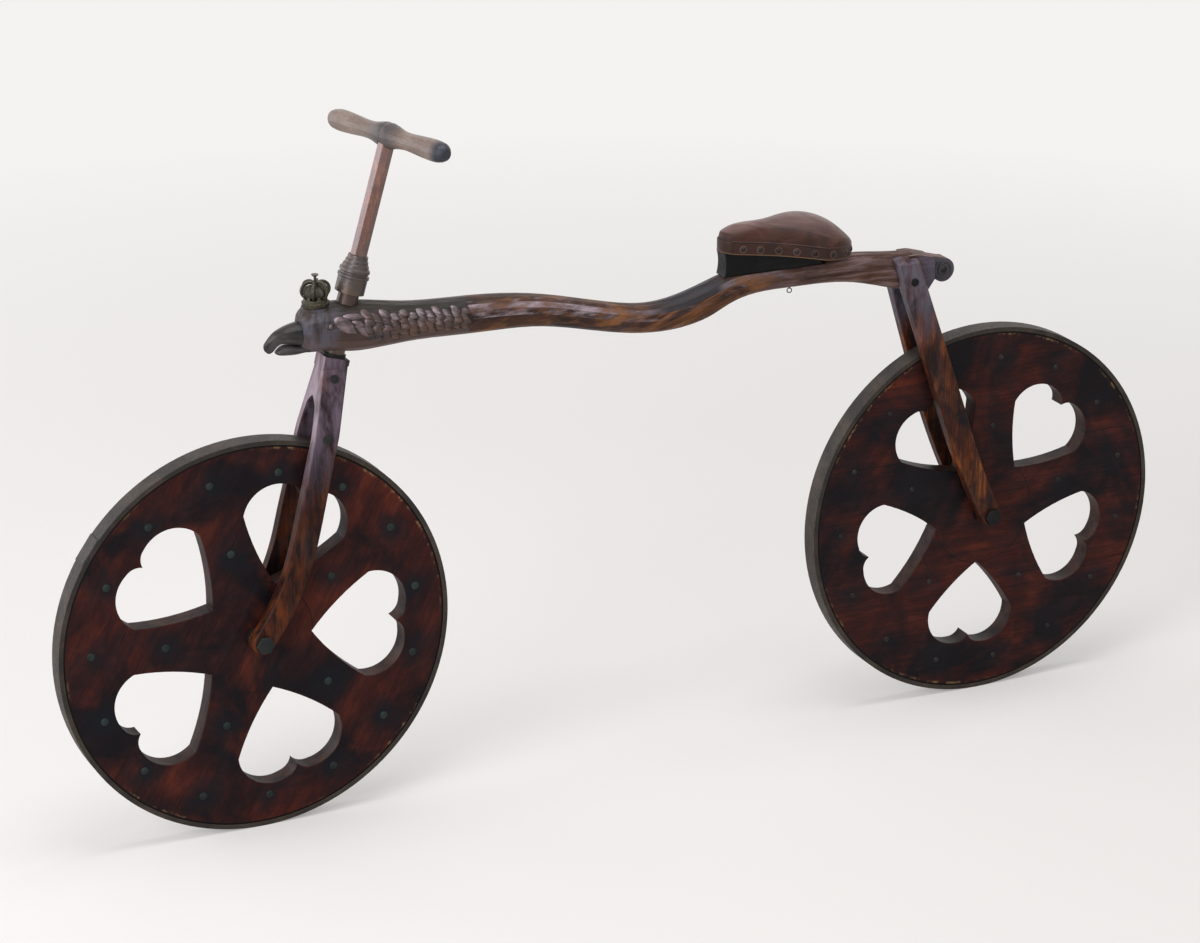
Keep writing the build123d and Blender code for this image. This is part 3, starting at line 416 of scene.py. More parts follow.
def old_iron(name, dark, rust, gloss=0.55, edge=0.5, metal=0.7):
    """Blackened iron with a rough skin, a little brown rust and rubbed edges."""
    made, tree, shader = material_nodes(name)
    patches = noise(tree, place_coords(tree), 22.0, 6.0, 0.65)
    pits = noise(tree, place_coords(tree), 260.0, 4.0, 0.6)
    paled, soft = edge_mask(tree, 0.0012)
    colour = mix(tree, ramp(tree, patches, ((0.42, 0.0), (0.66, 1.0))), dark, rust)
    colour = mix(tree, times(tree, paled, edge), colour, shifted(rust, 2.6))
    rough = ramp(tree, pits, ((0.3, gloss - 0.12), (0.7, gloss + 0.12)))
    pitted = relief(tree, pits, 0.35, 0.001, soft)
    finish_shader(tree, shader, {"Base Color": colour, "Roughness": rough, "Normal": pitted},
                  {"Metallic": metal, "Specular IOR Level": 0.3})
    return made


def old_leather(name, tones, edge_tan=True):
    """Brown saddle leather: fine grain, dark creases, a painted sheen on its upward faces and a pale cut lower
    edge.
    """
    made, tree, shader = material_nodes(name)
    plain = place_coords(tree)
    pebbles = {"Vector": plain, "Scale": 420.0}
    cells = add_node(tree, "TexVoronoi", pebbles, feature="DISTANCE_TO_EDGE").outputs[0]
    clouds = noise(tree, plain, 17.0, 6.0, 0.62, 0.5)
    folds = noise(tree, place_coords(tree, (0.0, 0.0, 0.4), (14.0, 60.0, 40.0)), 1.3, 5.0, 0.6, 0.8)
    dark, body, worn = tones
    colour = mix(tree, ramp(tree, clouds, ((0.32, 0.0), (0.60, 1.0))), dark, body)
    colour = mix(tree, ramp(tree, folds, ((0.56, 0.0), (0.78, 0.8))), colour, worn)
    if edge_tan:
        height = parts(tree, place_coords(tree, (0.0, SADDLE_TILT, 0.0), shift=tuple(-SADDLE_MIDDLE)))[2]
        colour = mix(tree, span(tree, height, 0.0022, 0.0008), colour, TAN_CUT)
        colour = mix(tree, span(tree, height, 0.020, 0.012, 0.0, 0.45), colour, shifted(dark, 0.8))
    # A painted sheen on upward faces, broken up by the folds
    on_top = span(tree, parts(tree, normal_of(tree))[2], 0.72, 0.97, 0.0, 0.75)
    paled = times(tree, on_top, ramp(tree, folds, ((0.35, 0.4), (0.6, 1.0))))
    colour = mix(tree, paled, colour, PAINTED_TOP_SHEEN)
    rough = ramp(tree, clouds, ((0.3, 0.50), (0.7, 0.32)))
    crease = relief(tree, folds, 0.35, 0.003)
    grained = relief(tree, ramp(tree, cells, ((0.0, 0.0), (0.12, 1.0))), 0.2, 0.0006, crease)
    finish_shader(tree, shader, {"Base Color": colour, "Roughness": rough, "Normal": grained},
                  {"Specular IOR Level": 0.17, "Coat Weight": 0.03, "Coat Roughness": 0.28})
    return made


# Marks, painted highlights and painted shade on top of the woods

def wheel_marks(hub, nail_angle, stain, grain_turn):
    """Marks on a wheel: nail stains, painted shade on the heart walls, plank cracks, a scribed circle, a
    chipped rim and a painted shadow beside the hoop.
    """

    def nail_stains(tree, colour, flat, away, uneven):
        sides = parts(tree, flat)
        bearing = calc(tree, "ARCTAN2", sides[2], sides[0])
        for count, radius in NAIL_RINGS:
            step = times(tree, calc(tree, "SUBTRACT", bearing, nail_angle), count / (2 * math.pi))
            offset = calc(tree, "SUBTRACT", calc(tree, "FRACT", calc(tree, "ADD", step, 0.5)), 0.5)
            arc = times(tree, offset, 2 * math.pi / count * radius)
            out = calc(tree, "SUBTRACT", away, radius)
            gap = calc(tree, "SQRT", calc(tree, "ADD", times(tree, arc, arc), times(tree, out, out)))
            near = span(tree, ragged(tree, gap, uneven, 0.07), 0.036, 0.004, 0.0, stain)
            colour = mix(tree, near, colour, NAIL_STAIN)
        return colour

    def plank_cracks(tree, colour):
        across = parts(tree, place_coords(tree, (0.0, grain_turn, 0.0), shift=tuple(-hub)))[2]
        for joint in PLANK_JOINTS:
            open_share = noise(tree, place_coords(tree, shift=(joint, 0.0, 0.3)), 7.0, 2.0, 0.5)
            broken = ramp(tree, open_share, ((0.48, 0.0), (0.54, 0.8)))
            line = times(tree, span(tree, away_from(tree, across, joint), 0.0009, 0.0004), broken)
            colour = mix(tree, line, colour, CRACK_DARK_AND_GAP_SHADOW)
        return colour

    def rim_chips_and_gap_shadow(tree, colour, away):
        chips = ramp(tree, noise(tree, place_coords(tree), 75.0, 4.0, 0.7), ((0.50, 0.0), (0.60, 0.8)))
        worn = ramp(tree, noise(tree, place_coords(tree), 5.0, 2.0, 0.5), ((0.50, 0.0), (0.60, 1.0)))
        rim = span(tree, away, DISC_RADIUS - 0.0075, DISC_RADIUS - 0.0040)
        colour = mix(tree, times(tree, rim, times(tree, chips, worn)), colour, CHIPPED_RIM)
        # A painted shadow line in the gap beside the hoop
        hoop_gap_shadow = span(tree, away, DISC_RADIUS - 0.0034, DISC_RADIUS - 0.0024)
        return mix(tree, hoop_gap_shadow, colour, CRACK_DARK_AND_GAP_SHADOW)

    def draw(tree, colour):
        flat = place_coords(tree, shift=tuple(-hub), scale=(1.0, 0.0, 1.0))
        away = length_of(tree, flat)
        uneven = noise(tree, place_coords(tree), 30.0, 4.0, 0.6)
        colour = nail_stains(tree, colour, flat, away, uneven)
        sideways = calc(tree, "ABSOLUTE", parts(tree, normal_of(tree))[1])
        # Painted shade on the walls inside the cut-outs, faces that do not look sideways
        colour = mix(tree, span(tree, sideways, 0.7, 0.3, 0.0, 0.8), colour, ramp(tree, uneven, HEART_WALL_SHADE))
        colour = plank_cracks(tree, colour)
        ring = span(tree, away_from(tree, away, SCRIBED_CIRCLE), 0.0011, 0.0005, 0.0, 0.75)
        colour = mix(tree, ring, colour, SCRIBED_DARK)
        return rim_chips_and_gap_shadow(tree, colour, away)

    return draw


def carved_highlight_and_shade(tree, colour):
    """Painted lilac highlight on carved faces that look forward and outward, and painted shade on those turned
    away.
    """
    normal = normal_of(tree)
    outward = add_node(tree, "VectorMath", {0: normal}, operation="ABSOLUTE").outputs[0]
    lit = calc(tree, "ADD", dot(tree, normal, (0.62, 0.0, 0.42)), dot(tree, outward, (0.0, 0.55, 0.0)))
    paled = ramp(tree, noise(tree, place_coords(tree), 48.0, 3.0, 0.6), ((0.40, 0.05), (0.58, 0.95)))
    # Painted shade on faces turned away from the light
    colour = mix(tree, span(tree, lit, 0.45, 0.10, 0.0, 0.8), colour, HOLLOW_PAINTED_SHADE)
    # Painted highlight, in patches, on faces turned towards the light
    return mix(tree, times(tree, span(tree, lit, 0.62, 0.90), paled), colour, RIDGE_PAINTED_HIGHLIGHT)


def beam_tones_and_highlights(tree, colour, x, up, spread, turned):
    """The beam's bands by the way it faces, with a painted highlight band, its glowing and stained patches, and
    a painted highlight on its upper corner.
    """
    # Bands by the way the surface faces, including a painted highlight band
    warm = mix(tree, ramp(tree, spread, ((0.34, 0.15), (0.60, 0.75))), colour, ramp(tree, turned, BEAM_BANDS_AND_HIGHLIGHT))
    glow = noise(tree, place_coords(tree, scale=(11.0, 34.0, 34.0), shift=(0.7, 0.2, 0.0)), 1.5, 5.0, 0.65)
    warm = mix(tree, ramp(tree, glow, ((0.48, 0.0), (0.66, 0.8))), warm, BEAM_GLOW)
    stains = noise(tree, place_coords(tree, scale=(4.0, 12.0, 12.0), shift=(0.13, 0.0, 0.2)), 1.6, 4.0, 0.6)
    stained = times(tree, along_span(tree, x, 190, 230), ramp(tree, stains, ((0.50, 0.0), (0.60, 0.8))))
    warm = mix(tree, stained, warm, BEAM_STAIN)
    flecks = noise(tree, place_coords(tree, scale=(16.0, 90.0, 90.0), shift=(0.1, 0.5, 0.0)), 1.6, 6.0, 0.68)
    tilt = span(tree, ragged(tree, up, flecks, 1.1), -1.0, 1.0)
    # A painted highlight along the beam's upper corner, in patches
    corner = ramp(tree, tilt, ((0.54, 0.0), (0.66, 1.0), (0.80, 1.0), (0.90, 0.0)))
    corner_highlight = times(tree, corner, ramp(tree, glow, ((0.40, 0.95), (0.58, 0.10))))
    return mix(tree, corner_highlight, warm, BEAM_CORNER_HIGHLIGHT)


def beam_slope(tree, warm, x, turned):
    """Where the beam dips ahead of the saddle it is streaked warm on its side and slate on top."""
    slope = times(tree, along_span(tree, x, 640, 560), along_span(tree, x, 440, 480))
    along = place_coords(tree, (0.0, math.radians(-22), 0.0), (4.0, 60.0, 60.0))
    flank = ramp(tree, noise(tree, along, 2.0, 5.0, 0.6), SLOPE_FLANK)
    warm = mix(tree, times(tree, slope, span(tree, turned, 0.72, 0.60, 0.0, 0.9)), warm, flank)
    return mix(tree, times(tree, slope, span(tree, turned, 0.62, 0.72, 0.0, 0.95)), warm, SLOPE_SLATE)


def beam_rear(tree, warm, x, up):
    """Under the saddle the beam is streaked, and its tail is slate on the sides."""
    lines = noise(tree, place_coords(tree, scale=(7.0, 80.0, 80.0), shift=(0.4, 0.0, 0.1)), 1.6, 5.0, 0.62)
    warm = mix(tree, along_span(tree, x, 440, 330, 0.0, 0.8), warm, ramp(tree, lines, REAR_STREAKS))
    tail = times(tree, along_span(tree, x, 140, 122), span(tree, up, 0.5, 0.1, 0.0, 0.75))
    return mix(tree, tail, warm, TAIL_SLATE)


def neck_paint(tree, colour):
    """The carved neck is dark and greenish with a brown chin and a painted sheen on the brow; the beam behind
    it is warm and worn, with painted highlights.
    """
    spread = noise(tree, place_coords(tree), 18.0, 4.0, 0.6)
    x = parts(tree, place_coords(tree))[0]
    rough_x = ragged(tree, x, spread, 0.012)
    up = parts(tree, normal_of(tree))[2]
    turned = span(tree, ragged(tree, up, spread, 0.5), -1.0, 1.0)
    warm = beam_tones_and_highlights(tree, colour, x, up, spread, turned)
    warm = beam_slope(tree, warm, rough_x, turned)
    warm = beam_rear(tree, warm, rough_x, up)
    # A painted sheen down the head's brow
    sheen = noise(tree, place_coords(tree, scale=(60.0, 60.0, 14.0)), 1.0, 4.0, 0.6)
    brow = times(tree, along_span(tree, rough_x, 1085, 1115), ramp(tree, sheen, ((0.44, 0.05), (0.60, 0.75))))
    neck = mix(tree, brow, ramp(tree, turned, NECK_BANDS), BROW_SHEEN)
    return mix(tree, along_span(tree, rough_x, NECK_END, NECK_END + 3, 0.0, 0.9), warm, neck)


def fork_paint(tree, colour):
    """The fork has a painted lilac highlight ahead and a painted slate sheen on its upper sides, and is worn
    warm brown lower down.
    """
    height = parts(tree, place_coords(tree))[2]
    faces = parts(tree, normal_of(tree))
    patches = noise(tree, place_coords(tree, scale=(46.0, 46.0, 9.0)), 1.5, 5.0, 0.62, 0.3)
    upper = height_span(tree, height, 500, 640)
    # Painted highlight on upper faces looking forward
    ahead = times(tree, upper, span(tree, faces[0], 0.35, 0.80))
    ahead = times(tree, ahead, ramp(tree, patches, ((0.32, 0.35), (0.62, 0.95))))
    colour = mix(tree, ahead, colour, FORK_FRONT_HIGHLIGHT)
    # Painted sheen on upper faces looking sideways
    aside = times(tree, upper, span(tree, calc(tree, "ABSOLUTE", faces[1]), 0.5, 0.9))
    aside = times(tree, aside, ramp(tree, patches, ((0.38, 0.05), (0.62, 0.8))))
    colour = mix(tree, aside, colour, FORK_SIDE_SHEEN)
    lower = times(tree, height_span(tree, height, 520, 400), ramp(tree, patches, ((0.46, 0.0), (0.64, 0.8))))
    return mix(tree, lower, colour, FORK_WORN)


def leg_paint(tree, colour):
    """The rear legs are slate at the top, with dark patches in the worn brown below."""
    height = parts(tree, place_coords(tree))[2]
    patches = noise(tree, place_coords(tree, scale=(34.0, 34.0, 9.0), shift=(0.3, 0.1, 0.0)), 1.4, 5.0, 0.62)
    colour = mix(tree, ramp(tree, patches, ((0.52, 0.0), (0.62, 0.85))), colour, LEG_DARK)
    upper = times(tree, height_span(tree, height, 600, 690), ramp(tree, patches, ((0.40, 0.95), (0.56, 0.2))))
    return mix(tree, upper, colour, LEG_SLATE)


def handle_ends(middle):
    """The handle's left end is worn to a dark slate, and its middle is darker than the rest."""

    def draw(tree, colour):
        coords = add_node(tree, "TexCoord").outputs["Object"]
        away = add_node(tree, "VectorMath", {0: coords, 1: tuple(middle)}, operation="SUBTRACT").outputs[0]
        along = dot(tree, away, tuple(HANDLE_WAY))
        shade = span(tree, calc(tree, "ABSOLUTE", along), 0.040, 0.014, 0.0, 0.85)
        colour = mix(tree, shade, colour, HANDLE_SHADE)
        return mix(tree, span(tree, along, HANDLE_HALF - 0.026, HANDLE_HALF - 0.012), colour, HANDLE_END)

    return draw


# Finishes of the carried-over solids

def paint(material, *names):
    """Give CAD nodes a material."""
    for name in names:
        for slot in NODES[name].material_slots:
            slot.material = material


def finish_wheels():
    """Dark red oak for both discs, each with its own grain and marks."""
    front_oak = old_wood(
        "front_wheel_oak", WHEEL_TONES, (0.0, FRONT_GRAIN_TURN, 0.0), blotch=7.5, coat=0.02, bloom=0.10,
        edge=0.35, hewn=0.15, cover=(0.36, 0.60), shine=0.08, figure=0.28,
        extra=wheel_marks(FRONT_HUB, FRONT_NAIL_ANGLE, 0.85, FRONT_GRAIN_TURN),
    )
    paint(front_oak, "front_disc")
    rear_oak = old_wood(
        "rear_wheel_oak", WHEEL_TONES, grain=20.0, coat=0.02, bloom=0.12, edge=0.35,
        hewn=0.15, cover=(0.39, 0.57), shine=0.09, figure=0.45,
        extra=wheel_marks(REAR_HUB, REAR_NAIL_ANGLE, 0.55, 0.0),
    )
    paint(rear_oak, "rear_disc")


def finish_woodwork():
    """The backbone, legs, fork, stem, post, handle, beak and the saddle's block and board."""
    backbone = old_wood("backbone_wood", BEAM_TONES, blotch=9.0, coat=0.05, bloom=0.3, hewn=0.7, shine=0.11,
                        extra=neck_paint)
    paint(backbone, "backbone")
    leg = old_wood("rear_leg_wood", LEG_TONES, UPRIGHT, blotch=11.0, grain=40.0, coat=0.06, bloom=0.06,
                   shine=0.09, extra=leg_paint)
    paint(leg, "rear_leg_left", "rear_leg_right")
    fork = old_wood("fork_wood", FORK_TONES, UPRIGHT, blotch=11.0, grain=40.0, coat=0.05, bloom=0.10,
                    shine=0.06, extra=fork_paint)
    paint(fork, "fork_leg_left", "fork_leg_right", "fork_crown")
    # The stem's high edge share paints a highlight along its facet edges
    stem = old_wood("stem_wood", STEM_TONES, UPRIGHT, blotch=14.0, grain=60.0, gloss=0.18, coat=0.8, edge=1.0,
                    hewn=0.05, cover=(0.46, 0.66), shine=0.5, round_edge=0.002, figure=0.7)
    paint(stem, "stem")
    paint(old_wood("post_wood", POST_TONES, UPRIGHT), "steering_post")
    low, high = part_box("handle")
    handle = old_wood("handle_wood", HANDLE_TONES, HANDLE_GRAIN, blotch=12.0, grain=14.0, gloss=0.40, coat=0.15,
                      hewn=0.15, cover=(0.60, 0.88), shine=0.3, figure=0.3, extra=handle_ends((low + high) / 2))
    paint(handle, "handle")
    paint(old_wood("beak_wood", BEAK_TONES, blotch=16.0, gloss=0.36, coat=0.16, bloom=0.4, shine=0.16), "beak")
    black = old_wood("black_wood", BLACK_TONES, blotch=16.0, coat=0.1, bloom=0.15, shine=0.08)
    paint(black, "saddle_block", "saddle_board")


def finish_ironwork():
    """The hoops, bolts, axles, hubs, washer and ferrule."""
    tyre = old_iron("tyre_iron", (0.026, 0.022, 0.019), (0.058, 0.044, 0.034), gloss=0.6, edge=0.3, metal=0.45)
    paint(tyre, "front_tyre", "rear_tyre")
    front_bolt = old_iron("front_bolt_iron", (0.016, 0.020, 0.020), (0.030, 0.031, 0.028), gloss=0.5)
    paint(front_bolt, "fork_bolts", "front_axle", "front_axle_nut", "front_hub")
    rear_bolt = old_iron("rear_bolt_iron", (0.009, 0.009, 0.010), (0.020, 0.016, 0.014), gloss=0.5)
    paint(rear_bolt, "rear_bolts", "rear_axle", "rear_axle_nut", "rear_hub", "steering_washer")
    ferrule = old_iron("ferrule_iron", (0.062, 0.057, 0.060), (0.105, 0.072, 0.052), 0.38, edge=0.4, metal=0.6)
    paint(ferrule, "ferrule")


# Tools of the hand: selecting, shaping and stamping copies

def clear_selection():
    """Leave nothing selected."""
    bpy.ops.object.select_all(action="DESELECT")


def pick(*pieces):
    """Select pieces, the first one active."""
    clear_selection()
    for piece in pieces:
        piece.select_set(True)
    bpy.context.view_layer.objects.active = pieces[0]


def choose_points(piece, wanted):
    """In edit mode, select the points that a test wants; leaves the piece in edit mode."""
    bpy.ops.object.mode_set(mode="EDIT")
    bpy.ops.mesh.select_mode(type="VERT")
    bpy.ops.mesh.select_all(action="DESELECT")
    bpy.ops.object.mode_set(mode="OBJECT")
    for point in piece.data.vertices:
        point.select = bool(wanted(point.co))
    bpy.ops.object.mode_set(mode="EDIT")


def stretch(ways, height=0.0):
    """Stretch what is selected about a point at a height over the origin."""
    bpy.ops.transform.resize(value=ways, center_override=(0, 0, height))


def cut_ball(segments, rings, radius, cut):
    """A ball cut flat below a height, left in edit mode."""
    clear_selection()
    bpy.ops.mesh.primitive_uv_sphere_add(segments=segments, ring_count=rings, radius=radius)
    ball = bpy.context.object
    bpy.ops.object.mode_set(mode="EDIT")
    bpy.ops.mesh.select_all(action="SELECT")
    bpy.ops.mesh.bisect(plane_co=(0, 0, cut), plane_no=(0, 0, 1), clear_inner=True, use_fill=True)
    return ball


def squashed_ring(radius, thickness, segments, squash=None):
    """A ring lying flat round the origin, squashed along its three ways if asked."""
    clear_selection()
    bpy.ops.mesh.primitive_torus_add(
        major_radius=radius, minor_radius=thickness, major_segments=segments, minor_segments=8,
    )
    ring = bpy.context.object
    if squash:
        bpy.ops.object.mode_set(mode="EDIT")
        bpy.ops.transform.resize(value=squash)
        bpy.ops.object.mode_set(mode="OBJECT")
    bpy.ops.object.shade_smooth()
    return ring


def round_head(radius, height, segments=14):
    """A hammered nail head: a low dome with a flat foot, standing on the origin."""
    head = cut_ball(segments, 8, radius, 0)
    bpy.ops.mesh.select_all(action="SELECT")
    stretch((1, 1, height / radius))
    choose_points(head, lambda p: p.z > 0.82 * height)
    stretch((1, 1, 0.86), 0.8 * height)
    bpy.ops.object.mode_set(mode="OBJECT")
    bpy.ops.object.shade_smooth_by_angle(angle=math.radians(50))
    return head


def carved_leaf(length, width, rise):
    """One carved feather: a domed leaf with a round root, a pointed tip along x and a raised midrib."""
    leaf = cut_ball(16, 10, 1.0, -0.1)
    for start, narrow, flat in LEAF_NARROWING:
        choose_points(leaf, lambda p: p.x > start)
        stretch((1, narrow, flat))
    choose_points(leaf, lambda p: abs(p.y) < 0.12 and p.z > 0.2)
    bpy.ops.transform.translate(value=(0, 0, 0.12))
    bpy.ops.mesh.select_all(action="SELECT")
    stretch((length / 2, width / 2, rise))
    bpy.ops.object.mode_set(mode="OBJECT")
    bpy.ops.object.shade_smooth()
    return leaf


def stamp(pattern, places, name):
    """Copies of a pattern at many places, joined as one piece at the origin; the pattern goes."""
    copies = []
    for place in places:
        pick(pattern)
        bpy.ops.object.duplicate()
        copy = bpy.context.object
        copy.matrix_world = place
        copies.append(copy)
    pick(*copies)
    bpy.ops.object.join()
    joined = bpy.context.object
    joined.name = name
    bpy.ops.object.transform_apply(location=True, rotation=True, scale=True)
    bpy.data.objects.remove(pattern)
    return joined


def tube_along(points, radius, name, closed=False, half_height=0.0):
    """A slim round piece through points, or an upright band if it has a height, made a mesh at the origin."""
    line = bpy.data.curves.new(name, "CURVE")
    line.dimensions = "3D"
    line.bevel_depth = radius
    line.bevel_resolution = 3
    line.extrude = half_height
    line.twist_mode = "Z_UP" if half_height else "MINIMUM"
    strand = line.splines.new("NURBS")
    strand.points.add(len(points) - 1)
    for point, where in zip(strand.points, points):
        point.co = (*where, 1.0)
    strand.order_u = 3
    strand.use_endpoint_u = not closed
    strand.use_cyclic_u = closed
    line.use_fill_caps = not closed
    holder = bpy.data.objects.new(name, line)
    bpy.context.collection.objects.link(holder)
    pick(holder)
    bpy.ops.object.convert(target="MESH")
    piece = bpy.context.object
    bpy.ops.object.shade_smooth()
    return piece


def facing(where, normal, along=None):
    """A place on a surface: z along the normal, x along a chosen way on the surface."""
    normal = Vector(normal).normalized()
    along = Vector(along) if along is not None else normal.orthogonal()
    side = normal.cross(along).normalized()
    ahead = side.cross(normal)
    return Matrix.Translation(where) @ Matrix((ahead, side, normal)).transposed().to_4x4()


def surface_of(piece):
    """A piece's surface, for finding where a line from outside meets it."""
    points = [tuple(v.co) for v in piece.data.vertices]
    return BVHTree.FromPolygons(points, [tuple(p.vertices) for p in piece.data.polygons])


def meet(surface, middle, out, start, reach):
    """Where a line towards a middle point meets a surface, and the way out of it there."""
    where, normal = surface.ray_cast(middle + out * start, -out, reach)[:2]
    if normal.dot(out) < 0:
        normal = -normal
    return where, normal


def ride_with(piece, body, material):
    """Give a finished piece its material and its body."""
    piece.data.materials.clear()
    piece.data.materials.append(material)
    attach(piece, body)


# Wheels

def wheel_nails(wheel, hub, first_angle, size, material):
    """The nails on both faces of one wheel."""
    places = []
    for count, ring in NAIL_RINGS:
        for step in range(count):
            turn = first_angle + 2 * math.pi * step / count
            for face in (1, -1):
                out = Vector((ring * math.cos(turn), face * (DISC_HALF - NAIL_SINK), ring * math.sin(turn)))
                places.append(facing(hub + out, (0, face, 0)))
    nails = stamp(round_head(*size), places, wheel + "_nails")
    ride_with(nails, wheel + "_wheel", material)


def hoop_lap(material):
    """The lapped end of the front hoop."""
    clear_selection()
    bpy.ops.mesh.primitive_cube_add(size=1.0)
    lap = bpy.context.object
    bpy.ops.object.mode_set(mode="EDIT")
    bpy.ops.transform.resize(value=LAP_SIZE)
    bpy.ops.mesh.bevel(offset=LAP_EDGE, segments=2)
    bpy.ops.object.mode_set(mode="OBJECT")
    outward = Vector((math.cos(LAP_ANGLE), 0.0, math.sin(LAP_ANGLE)))
    where = FRONT_HUB + outward * (DISC_RADIUS + LAP_LIFT)
    laid = stamp(lap, [facing(where, outward, (-outward.z, 0.0, outward.x))], "hoop_lap")
    ride_with(laid, "front_wheel", material)


# Carved head

BACKBONE_SURFACE = surface_of(NODES["backbone"])


def neck_middle(x):
    """Height of the middle of the neck at a place along it, in millimetres."""
    for (x0, z0), (x1, z1) in zip(NECK_LINE, NECK_LINE[1:]):
        if x <= x1:
            return z0 + (z1 - z0) * (x - x0) / (x1 - x0)
    return NECK_LINE[-1][1]


def feather_place(x, turn, droop, lift):
    """A feather laid on the neck: its tip points backwards and droops by an angle, and lifts off a little."""
    out = Vector((0.0, math.sin(turn), math.cos(turn)))
    where, normal = meet(BACKBONE_SURFACE, spot(x, 0, neck_middle(x)), out, 0.2, 0.25)
    back = Vector((-1.0, 0.0, 0.0))
    back = (back - normal * back.dot(normal)).normalized()
    down = normal.cross(back).normalized()
    down = down if down.z < 0 else -down
    along = back * math.cos(droop) + down * math.sin(droop)
    return facing(where, normal, along) @ Matrix.Rotation(-lift, 4, "Y")


def both_sides(x, turn, droop, lift):
    """A place on the left of the head and the same one on the right, with angles in degrees."""
    turn, droop, lift = math.radians(turn), math.radians(droop), math.radians(lift)
    return [feather_place(x, side * turn, droop, lift) for side in (1, -1)]


def neck_feathers(material):
    """Rows of overlapping feathers on both sides of the neck, smaller and flatter towards the back."""
    places = []
    for row in range(FEATHER_ROWS):
        share = row / (FEATHER_ROWS - 1)
        x = FEATHER_START - FEATHER_RUN * share
        pitch = FEATHER_PITCH - FEATHER_CLOSING * share
        for side in (1, -1):
            for step in range(FEATHERS_IN_ROW):
                stagger = (step + 0.5 * (row % 2)) * pitch
                turn = math.radians(FEATHER_TOP + stagger + FEATHER_CLOSING * share)
                wobble = math.sin(7.1 * row + 3.7 * step + side)
                droop = math.radians(FEATHER_DROOP + 12.0 * wobble)
                size = (1.10 - 0.22 * share) * (1.0 + 0.10 * wobble)
                thick = size * (1.05 - 0.40 * share) * (1.0 - 0.12 * step)
                placed = feather_place(x + 2.0 * wobble, side * turn, droop, math.radians(FEATHER_LIFT))
                places.append(placed @ Matrix.Diagonal((size, size * (1.0 - 0.10 * wobble), thick, 1.0)))
    ride_with(stamp(carved_leaf(*FEATHER_SIZE), places, "neck_feathers"), "frame", material)


def cheek_leaves(material):
    """The large carved leaves behind each eye."""
    for number, (x, turn, droop, *size) in enumerate(CHEEK_LEAVES):
        leaf = stamp(carved_leaf(*size), both_sides(x, turn, droop, CHEEK_LIFT), f"cheek_leaf_{number}")
        ride_with(leaf, "frame", material)


def eyes(material):
    """A carved eye with its lids on each side of the head."""
    places = both_sides(EYE_X, EYE_TURN, EYE_DROOP, 0.0)
    ride_with(stamp(squashed_ring(*EYE_LID), places, "eye_lids"), "frame", material)
    ride_with(stamp(round_head(*EYE_BALL), places, "eye_balls"), "frame", material)


def crown_trim(material):
    """Beads round the crown's band and small leaves standing between its ribs."""
    low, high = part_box("crown")
    middle = (low + high) / 2
    surface = surface_of(NODES["crown"])
    tall = high.z - low.z
    foot = Vector((middle.x, middle.y, low.z + BAND_SHARE * tall))
    beads, leaves = [], []
    for step in range(CROWN_BEADS):
        turn = math.radians(360.0 / CROWN_BEADS * (step + 0.5))
        out = Vector((math.cos(turn), math.sin(turn), 0.0))
        where = meet(surface, foot, out, 0.05, 0.06)[0]
        beads.append(facing(where - out * BEAD_SINK, out))
        if step % 3 == 1:
            root = where + Vector((0, 0, LEAF_SHARE * tall)) - out * CROWN_LEAF_SINK
            leaves.append(facing(root, out, (0, 0, 1)))
    ride_with(stamp(round_head(*BEAD_SIZE), beads, "crown_beads"), "frame", material)
    ride_with(stamp(carved_leaf(*CROWN_LEAF), leaves, "crown_leaves"), "frame", material)


def crown_cap(material):
    """The puffed cap inside the crown's ribs, gathered into folds."""
    low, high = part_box("crown")
    middle = (low + high) / 2
    cap = cut_ball(72, 18, 1.0, -0.75)
    choose_points(cap, lambda p: math.cos(CAP_FOLDS * math.atan2(p.y, p.x)) > 0.4 and p.z > -0.7)
    stretch((0.91, 0.91, 0.97))
    bpy.ops.mesh.select_all(action="SELECT")
    stretch(CAP_SIZE)
    bpy.ops.object.mode_set(mode="OBJECT")
    bpy.ops.object.shade_smooth()
    seated = stamp(cap, [Matrix.Translation((middle.x, middle.y, low.z + CAP_LIFT))], "crown_cap")
    ride_with(seated, "frame", material)


# Saddle

def swell(cover):
    """Blow the leather up as cloth, and let no point move further than its height allows."""
    start = [v.co.copy() for v in cover.data.vertices]
    cloth = cover.modifiers.new("swell", "CLOTH")
    cloth.settings.use_pressure = True
    cloth.settings.uniform_pressure_force = SWELL_FORCE
    cloth.settings.effector_weights.gravity = 0.0
    for step in range(1, SWELL_FRAMES + 1):
        bpy.context.scene.frame_set(step)
    bpy.ops.object.modifier_apply(modifier=cloth.name)
    bpy.context.scene.frame_set(1)
    for point, before in zip(cover.data.vertices, start):
        moved = point.co - before
        low = (before - SADDLE_MIDDLE).dot(SADDLE_UP)
        most = SWELL_MOST * min(1.0, max(0.0, low / SWELL_FREE))
        if moved.length > most:
            point.co = before + moved * (most / moved.length)


